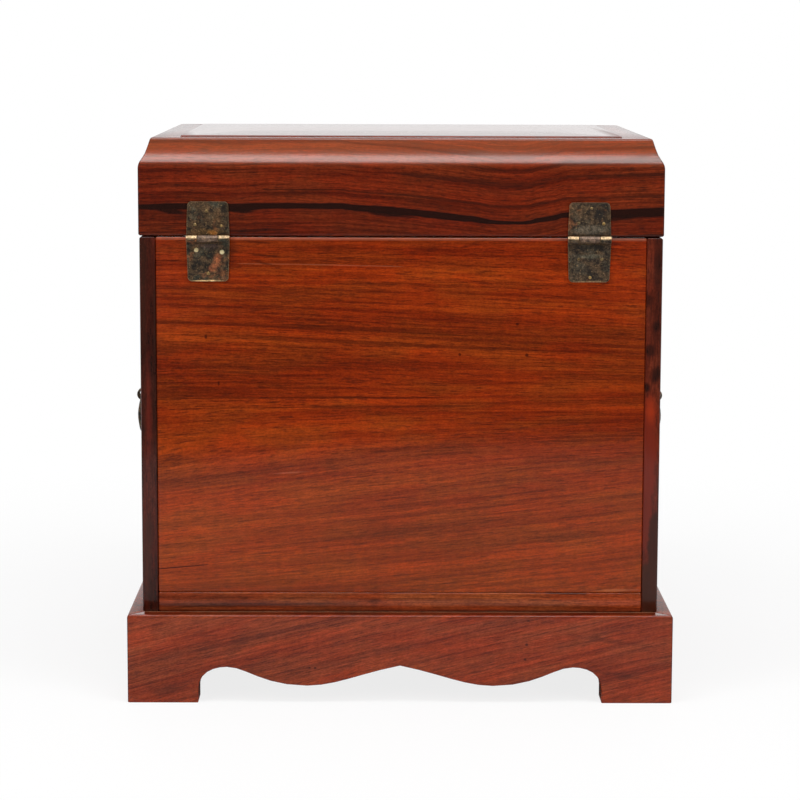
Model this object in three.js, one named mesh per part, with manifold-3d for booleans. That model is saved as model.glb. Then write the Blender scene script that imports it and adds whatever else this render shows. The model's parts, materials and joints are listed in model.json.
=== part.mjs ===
// A portable seal chest of rosewood: a coved, hinged lid over a shallow tray, a pair of doors,
// four drawers behind them, a scalloped plinth, and hinges, hasp, lock plates and handles of old brass.
// Millimetres. X runs across the chest, Y from its front to its back, and Z up.
import * as THREE from "three";
import { RoundedBoxGeometry } from "three/addons/geometries/RoundedBoxGeometry.js";
import { mergeVertices } from "three/addons/utils/BufferGeometryUtils.js";
import Module from "manifold-3d";

const wasm = await Module();
wasm.setup();

// Case
const CASE_WIDTH = 322;
const CASE_DEPTH = 256;
const CASE_HEIGHT = 234.5;
const SIDE_THICKNESS = 10;
const BACK_THICKNESS = 8;
const BACK_STRIP_HEIGHT = 12.2;
const BOTTOM_THICKNESS = 10;
const TRAY_FLOOR_THICKNESS = 8;
const RAIL_HEIGHT = 40;
const RAIL_THICKNESS = 10;
const ARRIS = 0.8;
const GLUE_LINE = 0.1;

// Plinth
const PLINTH_HEIGHT = 56;
const PLINTH_SIDE_OVERHANG = 9;
const PLINTH_END_OVERHANG = 10.5;
const APRON_THICKNESS = 20;
const APRON_ARRIS = 1.8;
const FOOT_WIDTH = 44;
const FOOT_INNER_HEIGHT = 8;
const ARCH_SHOULDER = 18;
const ARCH_HEIGHT = 22.8;
const PENDANT_HEIGHT = 10.9;
const PENDANT_SHARE = 0.537;
const CUSP_HEIGHT = 23.8;
const CUSP_SLOPE = 0.2;

// Lid
const LID_SIDE_OVERHANG = 0.5;
const LID_FRONT_OVERHANG = 1.5;
const LID_GAP = 0.8;
const LID_HEIGHT = 59.8;
const LID_WALL = 10;
const COVE_HEIGHT = 18;
const COVE_INSET = 8.1;
const COVE_SHOULDER = 3.8;
const COVE_HOLLOW_INSET = 7.4;
const COVE_HOLLOW_HEIGHT = 5.4;
const LID_BORDER = 16;
const LID_TOP_THICKNESS = 11;
const PANEL_RISE = 2.2;
const PANEL_LIP = 0.8;
const PANEL_SLOPE = 40;
const PANEL_TONGUE = 4;
const PANEL_TONGUE_DEPTH = 5;
const PANEL_GAP = 0.3;

// Doors
const DOOR_THICKNESS = 9.6;
const DOOR_BACK_GAP = 0.4;
const DOOR_MEETING_GAP = 0.8;
const DOOR_END_GAP = 0.8;
const DOOR_SIDE_GAP = 0.3;
const DOOR_STANDS_OPEN = 90;

// Drawers and the shelves between them
const DRAWER_RECESS = 9;
const SHELF_THICKNESS = 8;
const BOTTOM_TIER_HEIGHT = 63.5;
const MIDDLE_TIER_HEIGHT = 52;
const DIVIDER_THICKNESS = 8;
const DRAWER_CLEARANCE = 0.7;
const DRAWER_LIFT = 0.3;
const DRAWER_FRONT = 10;
const DRAWER_BACK_ROOM = 19;
const DRAWER_WALL = 6;
const DRAWER_BOTTOM = 4;
const DRAWER_BOX_DROP = 5;

// Hinges: leaves of sheet brass that meet in a barrel of three knuckles
const LEAF_THICKNESS = 1;
const LEAF_CORNER = 2.6;
const LEAF_TAPER = 0.7;
const BARREL_RADIUS = 2.2;
const BARREL_LIFT = 0.2;
const PIN_RADIUS = 1.05;
const PIN_CLEARANCE = 0.1;
const KNUCKLE_GAP = 0.3;
const CENTRE_KNUCKLE = 12.6;
const REAR_LEAF_WIDTH = 26.5;
const REAR_LEAF_UP = 22.8;
const REAR_LEAF_DOWN = 26.2;
const LEFT_REAR_HINGE_INSET = 45.4;
const RIGHT_REAR_HINGE_INSET = 42.3;
const REAR_BARREL_DROP = 0.9;
const DOOR_LEAF_WIDTH = 24;
const DOOR_LEAF_REACH = 24;
const DOOR_SIDE_LEAF_REACH = 28;
const DOOR_HINGE_INSET = 32;

// Lock plates and hasp
const PLATE_THICKNESS = 1.2;
const LOCK_RADIUS = 26;
const LOCK_LUG_LENGTH = 7.5;
const LOCK_LUG_HEIGHT = 7;
const LOCK_LUG_THICKNESS = 2.4;
const LOCK_LUG_INSET = 2.2;
const LUG_HOLE_RADIUS = 1.7;
const RAIL_PLATE_RADIUS = 15;
const RAIL_PLATE_DROP = 18;
const LID_PLATE_WIDTH = 34;
const LID_PLATE_HEIGHT = 18;
const HASP_AXIS_LIFT = 4;
const HASP_STANDOFF = 2.8;
const HASP_BARREL_RADIUS = 2.4;
const HASP_BARREL_WIDTH = 26;
const HASP_THICKNESS = 1.6;
const HASP_WIDTH = 26;
const HASP_LENGTH = 33;
const HASP_SLOT_WIDTH = 3.8;
const HASP_SLOT_HEIGHT = 11;
const HASP_STANDS_UP = 182;
const STAPLE_LENGTH = 11.5;
const STAPLE_HEIGHT = 6;
const STAPLE_THICKNESS = 2.2;

// Pulls: a leaf-shaped tag that hangs on a pin between two cheeks
const PULL_STANDOFF = 3.6;
const PULL_PIN_RADIUS = 0.8;
const PULL_EYE_RADIUS = 1.7;
const PULL_EYE_WIDTH = 2.6;
const PULL_CHEEK_WIDTH = 1.4;
const PULL_PLAY = 0.25;
const PULL_NECK = 2.6;
const PULL_THICKNESS = 1.6;
const DRAWER_PULL_LENGTH = 19;
const DRAWER_PULL_WIDTH = 10.5;
const DRAWER_PULL_PLATE_RADIUS = 9;
const DOOR_PULL_LENGTH = 25;
const DOOR_PULL_WIDTH = 13;
const DOOR_PULL_OFFSET = 14;

// Side handles
const HANDLE_HEIGHT = 180;
const HANDLE_SPACING = 60;
const HANDLE_STANDOFF = 7;
const HANDLE_PLATE_LENGTH = 84;
const HANDLE_PLATE_WIDTH = 20;
const HANDLE_PLATE_THICKNESS = 1.5;
const HANDLE_EYE_RADIUS = 4.2;
const HANDLE_EYE_WIDTH = 5;
const BAIL_RADIUS = 2.2;
const BAIL_PLAY = 0.4;
const BAIL_DROP = 26;
const BAIL_BOW = 3;
const BAIL_END = 1.5;
const BAIL_SHOULDER = 6;
const BAIL_TOP_BEND = 5;
const BAIL_BOTTOM_BEND = 6.5;

// How finely curves are cut
const ROUND_SIDES = 16;
const CURVE_STEPS = 6;
const BAIL_SIDES = 8;
const BAIL_STEPS = 40;

// Places worked out from the sizes above
const halfWidth = CASE_WIDTH / 2;
const innerHalf = halfWidth - SIDE_THICKNESS;
const backY = CASE_DEPTH / 2;
const frontY = -CASE_DEPTH / 2;
const sideFrontY = frontY + DOOR_THICKNESS + DOOR_BACK_GAP;
const drawerFrontY = sideFrontY + DRAWER_RECESS;
const backInnerY = backY - BACK_THICKNESS;
const floorBackY = backInnerY - GLUE_LINE;
const caseBottom = PLINTH_HEIGHT;
const caseTop = caseBottom + CASE_HEIGHT;
const railBottom = caseTop - RAIL_HEIGHT;
const trayUnderside = railBottom - TRAY_FLOOR_THICKNESS;
const bottomTop = caseBottom + BOTTOM_THICKNESS;
const lowerShelf = bottomTop + BOTTOM_TIER_HEIGHT;
const middleTier = lowerShelf + SHELF_THICKNESS;
const upperShelf = middleTier + MIDDLE_TIER_HEIGHT;
const topTier = upperShelf + SHELF_THICKNESS;
const lidBottom = caseTop + LID_GAP;
const lidTop = lidBottom + LID_HEIGHT;
const lidFrontY = frontY - LID_FRONT_OVERHANG;
const barrelOffset = BARREL_RADIUS + BARREL_LIFT;
const doorPivotX = halfWidth + barrelOffset;
const doorPivotY = frontY - barrelOffset;
const doorBottom = caseBottom + DOOR_END_GAP;
const doorTop = railBottom - DOOR_END_GAP;
const haspAxisZ = lidBottom + HASP_AXIS_LIFT;
const standingDoorEdgeY = doorPivotY - doorPivotX + DOOR_MEETING_GAP / 2;
const footprintMiddleY = (backY + PLINTH_END_OVERHANG + standingDoorEdgeY) / 2;

const rosewood = { color: 0x8e3f1f, roughness: 0.38, metalness: 0 };
const darkRosewood = { color: 0x4d211b, roughness: 0.38, metalness: 0 };
const drawerWood = { color: 0xb98556, roughness: 0.7, metalness: 0 };
const oldBrass = { color: 0x6b5a42, roughness: 0.45, metalness: 1 };

// A closed geometry as a solid that can be joined and cut.
function solidOf(geometry) {
  const loose = geometry.index ? geometry.toNonIndexed() : geometry;
  const bare = new THREE.BufferGeometry().setAttribute("position", loose.getAttribute("position"));
  const merged = mergeVertices(bare, 1e-4);
  return new wasm.Manifold(
    new wasm.Mesh({
      numProp: 3,
      vertProperties: merged.attributes.position.array,
      triVerts: new Uint32Array(merged.index.array),
    }),
  );
}

function geometryOf(solid) {
  const mesh = solid.getMesh();
  const geometry = new THREE.BufferGeometry();
  geometry.setAttribute("position", new THREE.BufferAttribute(mesh.vertProperties, 3));
  geometry.setIndex(new THREE.BufferAttribute(mesh.triVerts, 1));
  geometry.computeVertexNormals();
  return geometry;
}

function join(...geometries) {
  return geometryOf(geometries.map(solidOf).reduce((whole, part) => whole.add(part)));
}

function cut(geometry, ...tools) {
  return geometryOf(tools.map(solidOf).reduce((whole, tool) => whole.subtract(tool), solidOf(geometry)));
}

// A rectangle with rounded corners, centred on the origin.
function roundedRectangle(width, height, radius) {
  const x = width / 2 - radius;
  const y = height / 2 - radius;
  const shape = new THREE.Shape();
  shape.absarc(x, y, radius, 0, Math.PI / 2).absarc(-x, y, radius, Math.PI / 2, Math.PI);
  shape.absarc(-x, -y, radius, Math.PI, Math.PI * 1.5).absarc(x, -y, radius, Math.PI * 1.5, Math.PI * 2);
  return shape.closePath();
}

// A flat outline given thickness along +Z, with the edges of its two faces eased by an arris.
function slab(shape, thickness, arris = 0, steps = CURVE_STEPS) {
  const geometry = new THREE.ExtrudeGeometry(shape, {
    depth: thickness - 2 * arris,
    bevelEnabled: arris > 0,
    bevelThickness: arris,
    bevelSize: arris,
    bevelOffset: -arris,
    bevelSegments: 1,
    curveSegments: steps,
  });
  return geometry.translate(0, 0, arris);
}

// A board between two corners, with every edge eased.
function board(x0, y0, z0, x1, y1, z1) {
  const geometry = new RoundedBoxGeometry(x1 - x0, y1 - y0, z1 - z0, 1, ARRIS);
  return geometry.translate((x0 + x1) / 2, (y0 + y1) / 2, (z0 + z1) / 2);
}

// A box between two corners, with sharp edges.
function block(x0, y0, z0, x1, y1, z1) {
  const geometry = new THREE.BoxGeometry(x1 - x0, y1 - y0, z1 - z0);
  return geometry.translate((x0 + x1) / 2, (y0 + y1) / 2, (z0 + z1) / 2);
}

// A round bar along X.
function bar(radius, from, to) {
  const geometry = new THREE.CylinderGeometry(radius, radius, to - from, ROUND_SIDES);
  return geometry.rotateZ(-Math.PI / 2).translate((from + to) / 2, 0, 0);
}

// The corner radius of a faceted hole whose flats clear a round pin.
function holeFor(pinRadius, clearance) {
  return (pinRadius + clearance) / Math.cos(Math.PI / ROUND_SIDES);
}

// Which way each wall of the chest faces, as a turn about Z from the front.
const FACING = { front: 0, right: Math.PI / 2, back: Math.PI, left: -Math.PI / 2 };
const ACROSS = new Set(["front", "back"]);
const SIDES = [["left", -1], ["right", 1]];

// A holder for fittings drawn flat, X across, Y up and Z out, which stands them on a wall.
function onWall(parent, facing, x, y, z) {
  const holder = new THREE.Group();
  holder.rotation.set(Math.PI / 2, 0, FACING[facing], "ZYX");
  holder.position.set(x, y, z);
  parent.add(holder);
  return holder;
}

function piece(parent, name, geometry, finish) {
  const mesh = new THREE.Mesh(geometry, new THREE.MeshStandardMaterial(finish));
  mesh.name = name;
  parent.add(mesh);
  return mesh;
}

// A moulded length with 45 degree mitres that faces the front. Its section is drawn outwards (x) and up (y),
// reach is how far its outer face lies from the middle, and halfRun is half the length of that face.
function mitredLength(section, reach, halfRun) {
  const options = { depth: 1, bevelEnabled: false, curveSegments: CURVE_STEPS };
  const geometry = new THREE.ExtrudeGeometry(section, options);
  const position = geometry.getAttribute("position");
  for (let i = 0; i < position.count; i += 1) {
    const out = position.getX(i);
    const up = position.getY(i);
    const end = position.getZ(i) > 0.5 ? -1 : 1;
    position.setXYZ(i, end * (halfRun - reach + out - GLUE_LINE / 2), -out, up);
  }
  return geometry;
}

// A side board: full depth beside the tray, and set back below it, where a door covers its edge.
function sideBoard() {
  const outline = new THREE.Shape();
  outline.moveTo(sideFrontY, caseBottom).lineTo(backY, caseBottom).lineTo(backY, caseTop);
  outline.lineTo(frontY, caseTop).lineTo(frontY, railBottom).lineTo(sideFrontY, railBottom).closePath();
  return slab(outline, SIDE_THICKNESS, ARRIS).rotateZ(Math.PI / 2).rotateY(Math.PI / 2);
}

function buildCase(parent) {
  const inner = innerHalf - GLUE_LINE;
  const stripTop = caseBottom + BACK_STRIP_HEIGHT;
  piece(parent, "side_board_left", sideBoard(), darkRosewood).position.x = -halfWidth;
  piece(parent, "side_board_right", sideBoard(), darkRosewood).position.x = innerHalf;
  const boards = [
    ["back_board", backInnerY, stripTop + GLUE_LINE, backY, caseTop],
    ["back_strip", backInnerY, caseBottom, backY, stripTop],
    ["bottom_board", sideFrontY, caseBottom, floorBackY, bottomTop],
    ["tray_floor", sideFrontY, trayUnderside, floorBackY, railBottom],
    ["front_rail", frontY, railBottom, frontY + RAIL_THICKNESS, caseTop],
  ];
  for (const [name, y0, z0, y1, z1] of boards) {
    piece(parent, name, board(-inner, y0, z0, inner, y1, z1), rosewood);
  }
}

// The cut-out under an apron: a round shoulder at each foot, two broad pendants and a cusp between them.
function archOutline(halfRun) {
  const foot = halfRun - FOOT_WIDTH;
  const crown = foot - ARCH_SHOULDER;
  const pendant = crown * PENDANT_SHARE;
  const span = crown - pendant;
  const easeOut = crown - span * 0.24;
  const easeIn = pendant + span * 0.56;
  const shoulderUp = FOOT_INNER_HEIGHT + (ARCH_HEIGHT - FOOT_INNER_HEIGHT) * 0.75;
  const cuspX = pendant * 0.43;
  const cuspEase = CUSP_HEIGHT - cuspX * CUSP_SLOPE;
  const curves = [
    [foot, FOOT_INNER_HEIGHT, foot, shoulderUp, crown + ARCH_SHOULDER / 2, ARCH_HEIGHT, crown, ARCH_HEIGHT],
    [crown, ARCH_HEIGHT, easeOut, ARCH_HEIGHT, easeIn, PENDANT_HEIGHT, pendant, PENDANT_HEIGHT],
    [pendant, PENDANT_HEIGHT, pendant * 0.69, PENDANT_HEIGHT, cuspX, cuspEase, 0, CUSP_HEIGHT],
  ];
  const outline = new THREE.Shape();
  outline.moveTo(-foot, -PLINTH_HEIGHT).lineTo(-foot, FOOT_INNER_HEIGHT);
  for (const [, , x1, y1, x2, y2, x3, y3] of curves) {
    outline.bezierCurveTo(-x1, y1, -x2, y2, -x3, y3);
  }
  for (const [x0, y0, x1, y1, x2, y2] of curves.reverse()) {
    outline.bezierCurveTo(x2, y2, x1, y1, x0, y0);
  }
  return outline.lineTo(foot, -PLINTH_HEIGHT).closePath();
}

function buildPlinth(parent) {
  const halfX = halfWidth + PLINTH_SIDE_OVERHANG;
  const halfY = backY + PLINTH_END_OVERHANG;
  for (const [name, turn] of Object.entries(FACING)) {
    const reach = ACROSS.has(name) ? halfY : halfX;
    const halfRun = ACROSS.has(name) ? halfX : halfY;
    const section = new THREE.Shape();
    section.moveTo(reach - APRON_THICKNESS, 0).lineTo(reach, 0).lineTo(reach, PLINTH_HEIGHT - APRON_ARRIS);
    section.absarc(reach - APRON_ARRIS, PLINTH_HEIGHT - APRON_ARRIS, APRON_ARRIS, 0, Math.PI / 2);
    section.lineTo(reach - APRON_THICKNESS, PLINTH_HEIGHT).closePath();
    const arch = slab(archOutline(halfRun), 2 * APRON_THICKNESS).rotateX(Math.PI / 2);
    arch.translate(0, 1.5 * APRON_THICKNESS - reach, 0);
    const apron = cut(mitredLength(section, reach, halfRun), arch);
    piece(parent, "plinth_" + name, apron, rosewood).rotation.z = turn;
  }
}

// A lid wall's section: an upright face, a hollow cove, the flat border and a groove for the panel.
function lidSection(reach) {
  const coveBottom = lidTop - COVE_HEIGHT;
  const edge = reach - COVE_INSET;
  const border = edge - LID_BORDER;
  const inside = reach - LID_WALL;
  const grooveBottom = lidTop - (LID_TOP_THICKNESS + PANEL_TONGUE + PANEL_GAP) / 2;
  const grooveTop = grooveBottom + PANEL_TONGUE + PANEL_GAP;
  const grooveEnd = border + PANEL_TONGUE_DEPTH;
  const section = new THREE.Shape();
  section.moveTo(inside, lidBottom).lineTo(reach - ARRIS, lidBottom).lineTo(reach, lidBottom + ARRIS);
  section.lineTo(reach, coveBottom);
  const hollowX = reach - COVE_HOLLOW_INSET;
  const hollowY = coveBottom + COVE_HOLLOW_HEIGHT;
  section.bezierCurveTo(reach, coveBottom + COVE_SHOULDER, hollowX, hollowY, edge, lidTop - ARRIS);
  section.lineTo(edge - ARRIS, lidTop).lineTo(border, lidTop).lineTo(border, grooveTop);
  section.lineTo(grooveEnd, grooveTop).lineTo(grooveEnd, grooveBottom).lineTo(border, grooveBottom);
  const under = lidTop - LID_TOP_THICKNESS;
  return section.lineTo(border, under).lineTo(inside, under).closePath();
}

// The raised middle of the lid's panel: four low slopes up to a flat, from a little below the XY plane.
function raisedSlopes(width, length) {
  const height = PANEL_RISE - PANEL_LIP;
  const upright = new THREE.CylinderGeometry(Math.SQRT1_2, Math.SQRT1_2, 1, 4).rotateX(Math.PI / 2);
  const geometry = upright.rotateZ(Math.PI / 4);
  const position = geometry.getAttribute("position");
  for (let i = 0; i < position.count; i += 1) {
    const isTop = position.getZ(i) > 0;
    const inset = isTop ? 2 * PANEL_SLOPE : 0;
    const x = position.getX(i) * (width - inset);
    const y = position.getY(i) * (length - inset);
    position.setXYZ(i, x, y, isTop ? height : -PANEL_LIP / 2);
  }
  return geometry;
}

function buildLid(parent) {
  const halfX = halfWidth + LID_SIDE_OVERHANG;
  const halfY = (backY - lidFrontY) / 2;
  const middleY = (backY + lidFrontY) / 2;
  for (const [name, turn] of Object.entries(FACING)) {
    const reach = ACROSS.has(name) ? halfY : halfX;
    const halfRun = ACROSS.has(name) ? halfX : halfY;
    const wall = piece(parent, "lid_" + name, mitredLength(lidSection(reach), reach, halfRun), rosewood);
    wall.rotation.z = turn;
    wall.position.y = middleY;
  }
  const fieldX = halfX - COVE_INSET - LID_BORDER - PANEL_GAP;
  const fieldY = halfY - COVE_INSET - LID_BORDER - PANEL_GAP;
  const tongueX = fieldX + PANEL_TONGUE_DEPTH;
  const tongueY = fieldY + PANEL_TONGUE_DEPTH;
  const tongueBottom = lidTop - (LID_TOP_THICKNESS + PANEL_TONGUE) / 2;
  const tongueTop = tongueBottom + PANEL_TONGUE;
  const tongue = block(-tongueX, -tongueY, tongueBottom, tongueX, tongueY, tongueTop);
  const field = board(-fieldX, -fieldY, tongueBottom + ARRIS, fieldX, fieldY, lidTop + PANEL_LIP);
  const slopes = raisedSlopes(2 * (fieldX - ARRIS), 2 * (fieldY - ARRIS));
  slopes.translate(0, 0, lidTop + PANEL_LIP);
  piece(parent, "lid_panel", join(tongue, field, slopes), rosewood).position.y = middleY;
}

// A leaf with its share of a barrel's three knuckles. X runs along the barrel, whose axis is the origin,
// and the leaf lies towards +Y with its back standoff below the axis. One leaf of a pair carries the riveted
// pin, in its two outer knuckles, and the other's middle knuckle turns on it.
function knuckledLeaf(outline, thickness, barrelWidth, radius, standoff, carriesPin) {
  const middle = CENTRE_KNUCKLE / 2;
  const end = barrelWidth / 2;
  const outer = [[-end, -middle - KNUCKLE_GAP], [middle + KNUCKLE_GAP, end]];
  const solids = [slab(outline, thickness).translate(0, 0, -standoff)];
  for (const [from, to] of carriesPin ? outer : [[-middle, middle]]) {
    solids.push(bar(radius, from, to));
    solids.push(block(from, 0, -standoff, to, radius + LEAF_CORNER, thickness - standoff));
  }
  if (carriesPin) {
    const seat = middle + 2 * KNUCKLE_GAP;
    return join(...solids, bar(PIN_RADIUS, -seat, seat));
  }
  return cut(join(...solids), bar(holeFor(PIN_RADIUS, PIN_CLEARANCE), -end, end));
}

// A plain hinge leaf. Its near corners start square, where the knuckles leave it, and it narrows outwards.
function hingeLeaf(width, reach, carriesPin) {
  const near = BARREL_RADIUS + KNUCKLE_GAP;
  const arcX = width / 2 - LEAF_TAPER - LEAF_CORNER;
  const arcY = reach - LEAF_CORNER;
  const outline = new THREE.Shape();
  outline.moveTo(-width / 2, near).lineTo(width / 2, near);
  outline.absarc(arcX, arcY, LEAF_CORNER, 0, Math.PI / 2);
  outline.absarc(-arcX, arcY, LEAF_CORNER, Math.PI / 2, Math.PI).closePath();
  return knuckledLeaf(outline, LEAF_THICKNESS, width, BARREL_RADIUS, barrelOffset, carriesPin);
}

// The two rear hinges, which were set by hand and stand at slightly unequal distances from the corners.
function buildRearHinges(caseGroup, lidGroup) {
  for (const [side, sign] of SIDES) {
    const inset = sign < 0 ? LEFT_REAR_HINGE_INSET : RIGHT_REAR_HINGE_INSET;
    const x = sign * (halfWidth - inset);
    const place = [x, backY + barrelOffset, caseTop - REAR_BARREL_DROP];
    const caseLeaf = hingeLeaf(REAR_LEAF_WIDTH, REAR_LEAF_DOWN, true);
    const lidLeaf = hingeLeaf(REAR_LEAF_WIDTH, REAR_LEAF_UP, false);
    const onCase = onWall(caseGroup, "back", ...place);
    const onLid = onWall(lidGroup, "back", ...place);
    piece(onCase, "rear_hinge_case_leaf_" + side, caseLeaf, oldBrass).rotation.z = Math.PI;
    piece(onLid, "rear_hinge_lid_leaf_" + side, lidLeaf, oldBrass);
  }
}

// A lug that stands out along +Z, with a hole along X near its rounded end.
function lug(length, height, thickness, hole) {
  const radius = height / 2;
  const outline = new THREE.Shape();
  outline.moveTo(PLATE_THICKNESS / 2, -radius).lineTo(length - radius, -radius);
  outline.absarc(length - radius, 0, radius, -Math.PI / 2, Math.PI / 2);
  outline.lineTo(PLATE_THICKNESS / 2, radius).closePath();
  if (hole > 0) {
    outline.holes.push(new THREE.Path().absarc(length - radius, 0, hole, 0, Math.PI * 2, true));
  }
  return slab(outline, thickness).translate(0, 0, -thickness / 2).rotateY(-Math.PI / 2);
}

// The two cheeks and the pin that a pull's tag hangs on.
function pullPost() {
  const length = PULL_STANDOFF + PULL_EYE_RADIUS;
  const offset = (PULL_EYE_WIDTH + PULL_CHEEK_WIDTH) / 2 + PULL_PLAY;
  const cheeks = [-offset, offset].map((x) => {
    return lug(length, 2 * PULL_EYE_RADIUS, PULL_CHEEK_WIDTH, 0).translate(x, 0, 0);
  });
  return join(...cheeks, bar(PULL_PIN_RADIUS, -offset, offset).translate(0, 0, PULL_STANDOFF));
}

// A leaf-shaped tag that hangs from an eye on the X axis.
function pullTag(length, width) {
  const neck = PULL_EYE_WIDTH / 2;
  const half = width / 2;
  const outline = new THREE.Shape();
  outline.moveTo(neck, 0).lineTo(-neck, 0).lineTo(-neck, -PULL_NECK);
  outline.bezierCurveTo(-neck, -length * 0.35, -half, -length * 0.4, -half, -length * 0.66);
  outline.bezierCurveTo(-half, -length * 0.86, -half * 0.4, -length * 0.92, 0, -length);
  outline.bezierCurveTo(half * 0.4, -length * 0.92, half, -length * 0.86, half, -length * 0.66);
  outline.bezierCurveTo(half, -length * 0.4, neck, -length * 0.35, neck, -PULL_NECK).closePath();
  const leaf = slab(outline, PULL_THICKNESS).translate(0, 0, -PULL_THICKNESS / 2);
  const eye = bar(PULL_EYE_RADIUS, -neck, neck);
  return cut(join(leaf, eye), bar(holeFor(PULL_PIN_RADIUS, PIN_CLEARANCE), -width, width));
}

// One door, drawn shut about its hinge axis and then stood open, with its half of the lock plate and a pull.
function buildDoor(caseGroup, root, side, sign) {
  const doorGroup = new THREE.Group();
  doorGroup.position.set(sign * doorPivotX, doorPivotY, 0);
  doorGroup.rotation.z = sign * THREE.MathUtils.degToRad(DOOR_STANDS_OPEN);
  root.add(doorGroup);
  const outerX = -barrelOffset - DOOR_SIDE_GAP;
  const innerX = DOOR_MEETING_GAP / 2 - doorPivotX;
  const [x0, x1] = [sign * outerX, sign * innerX].sort((a, b) => a - b);
  const leaf = board(x0, barrelOffset, doorBottom, x1, barrelOffset + DOOR_THICKNESS, doorTop);
  piece(doorGroup, "door_" + side, leaf, rosewood);
  const places = [["lower", doorBottom + DOOR_HINGE_INSET], ["upper", doorTop - DOOR_HINGE_INSET]];
  for (const [level, z] of places) {
    const onDoor = onWall(doorGroup, "front", 0, 0, z);
    const doorLeaf = hingeLeaf(DOOR_LEAF_WIDTH, DOOR_LEAF_REACH, false);
    piece(onDoor, "door_leaf_" + level + "_" + side, doorLeaf, oldBrass).rotation.z = sign * Math.PI / 2;
    const onSide = onWall(caseGroup, side, sign * doorPivotX, doorPivotY, z);
    const sideLeaf = hingeLeaf(DOOR_LEAF_WIDTH, DOOR_SIDE_LEAF_REACH, true);
    piece(onSide, "side_leaf_" + level + "_" + side, sideLeaf, oldBrass).rotation.z = -sign * Math.PI / 2;
  }
  const lock = onWall(doorGroup, "front", sign * innerX, barrelOffset, (doorBottom + doorTop) / 2);
  const half = new THREE.Shape().absarc(0, 0, LOCK_RADIUS, -Math.PI / 2, Math.PI / 2).closePath();
  const plate = slab(half, PLATE_THICKNESS, 0, 2 * CURVE_STEPS);
  const staple = lug(LOCK_LUG_LENGTH, LOCK_LUG_HEIGHT, LOCK_LUG_THICKNESS, LUG_HOLE_RADIUS);
  staple.translate(LOCK_LUG_INSET + LOCK_LUG_THICKNESS / 2, 0, 0);
  const post = pullPost().translate(DOOR_PULL_OFFSET, 0, 0);
  const lockPlate = piece(lock, "door_lock_plate_" + side, join(plate, staple, post), oldBrass);
  lockPlate.rotation.z = sign > 0 ? 0 : Math.PI;
  const tag = piece(lock, "door_pull_" + side, pullTag(DOOR_PULL_LENGTH, DOOR_PULL_WIDTH), oldBrass);
  tag.position.set(sign * DOOR_PULL_OFFSET, 0, PULL_STANDOFF);
}

// One drawer in the opening between two corners: its board front, its tray, and its pull.
function buildDrawer(parent, name, x0, z0, x1, z1) {
  const [left, right] = [x0 + DRAWER_CLEARANCE, x1 - DRAWER_CLEARANCE];
  const [low, high] = [z0 + DRAWER_LIFT, z1 - DRAWER_CLEARANCE];
  const faceBack = drawerFrontY + DRAWER_FRONT;
  const trayFront = faceBack + GLUE_LINE;
  const trayBack = backInnerY - DRAWER_BACK_ROOM;
  piece(parent, name + "_front", board(left, drawerFrontY, low, right, faceBack, high), rosewood);
  const outside = block(left, trayFront, low, right, trayBack, high - DRAWER_BOX_DROP);
  const inside = block(left + DRAWER_WALL, trayFront - 1, low + DRAWER_BOTTOM, right - DRAWER_WALL,
    trayBack - DRAWER_WALL, high);
  piece(parent, name + "_tray", cut(outside, inside), drawerWood);
  const face = onWall(parent, "front", (x0 + x1) / 2, drawerFrontY, (low + high) / 2);
  const disc = new THREE.Shape().absarc(0, 0, DRAWER_PULL_PLATE_RADIUS, 0, Math.PI * 2);
  const plate = slab(disc, PLATE_THICKNESS, 0, 2 * CURVE_STEPS);
  piece(face, name + "_pull_plate", join(plate, pullPost()), oldBrass);
  const tag = piece(face, name + "_pull", pullTag(DRAWER_PULL_LENGTH, DRAWER_PULL_WIDTH), oldBrass);
  tag.position.z = PULL_STANDOFF;
}

function buildDrawers(caseGroup, root) {
  const inner = innerHalf - GLUE_LINE;
  const half = DIVIDER_THICKNESS / 2;
  for (const [name, z] of [["lower_shelf", lowerShelf], ["upper_shelf", upperShelf]]) {
    const shelf = board(-inner, drawerFrontY, z, inner, floorBackY, z + SHELF_THICKNESS);
    piece(caseGroup, name, shelf, rosewood);
  }
  const divider = board(-half, drawerFrontY, topTier, half, floorBackY, trayUnderside);
  piece(caseGroup, "drawer_divider", divider, rosewood);
  buildDrawer(root, "bottom_drawer", -innerHalf, bottomTop, innerHalf, lowerShelf);
  buildDrawer(root, "middle_drawer", -innerHalf, middleTier, innerHalf, upperShelf);
  buildDrawer(root, "top_left_drawer", -innerHalf, topTier, -half, trayUnderside);
  buildDrawer(root, "top_right_drawer", half, topTier, innerHalf, trayUnderside);
}

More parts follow.
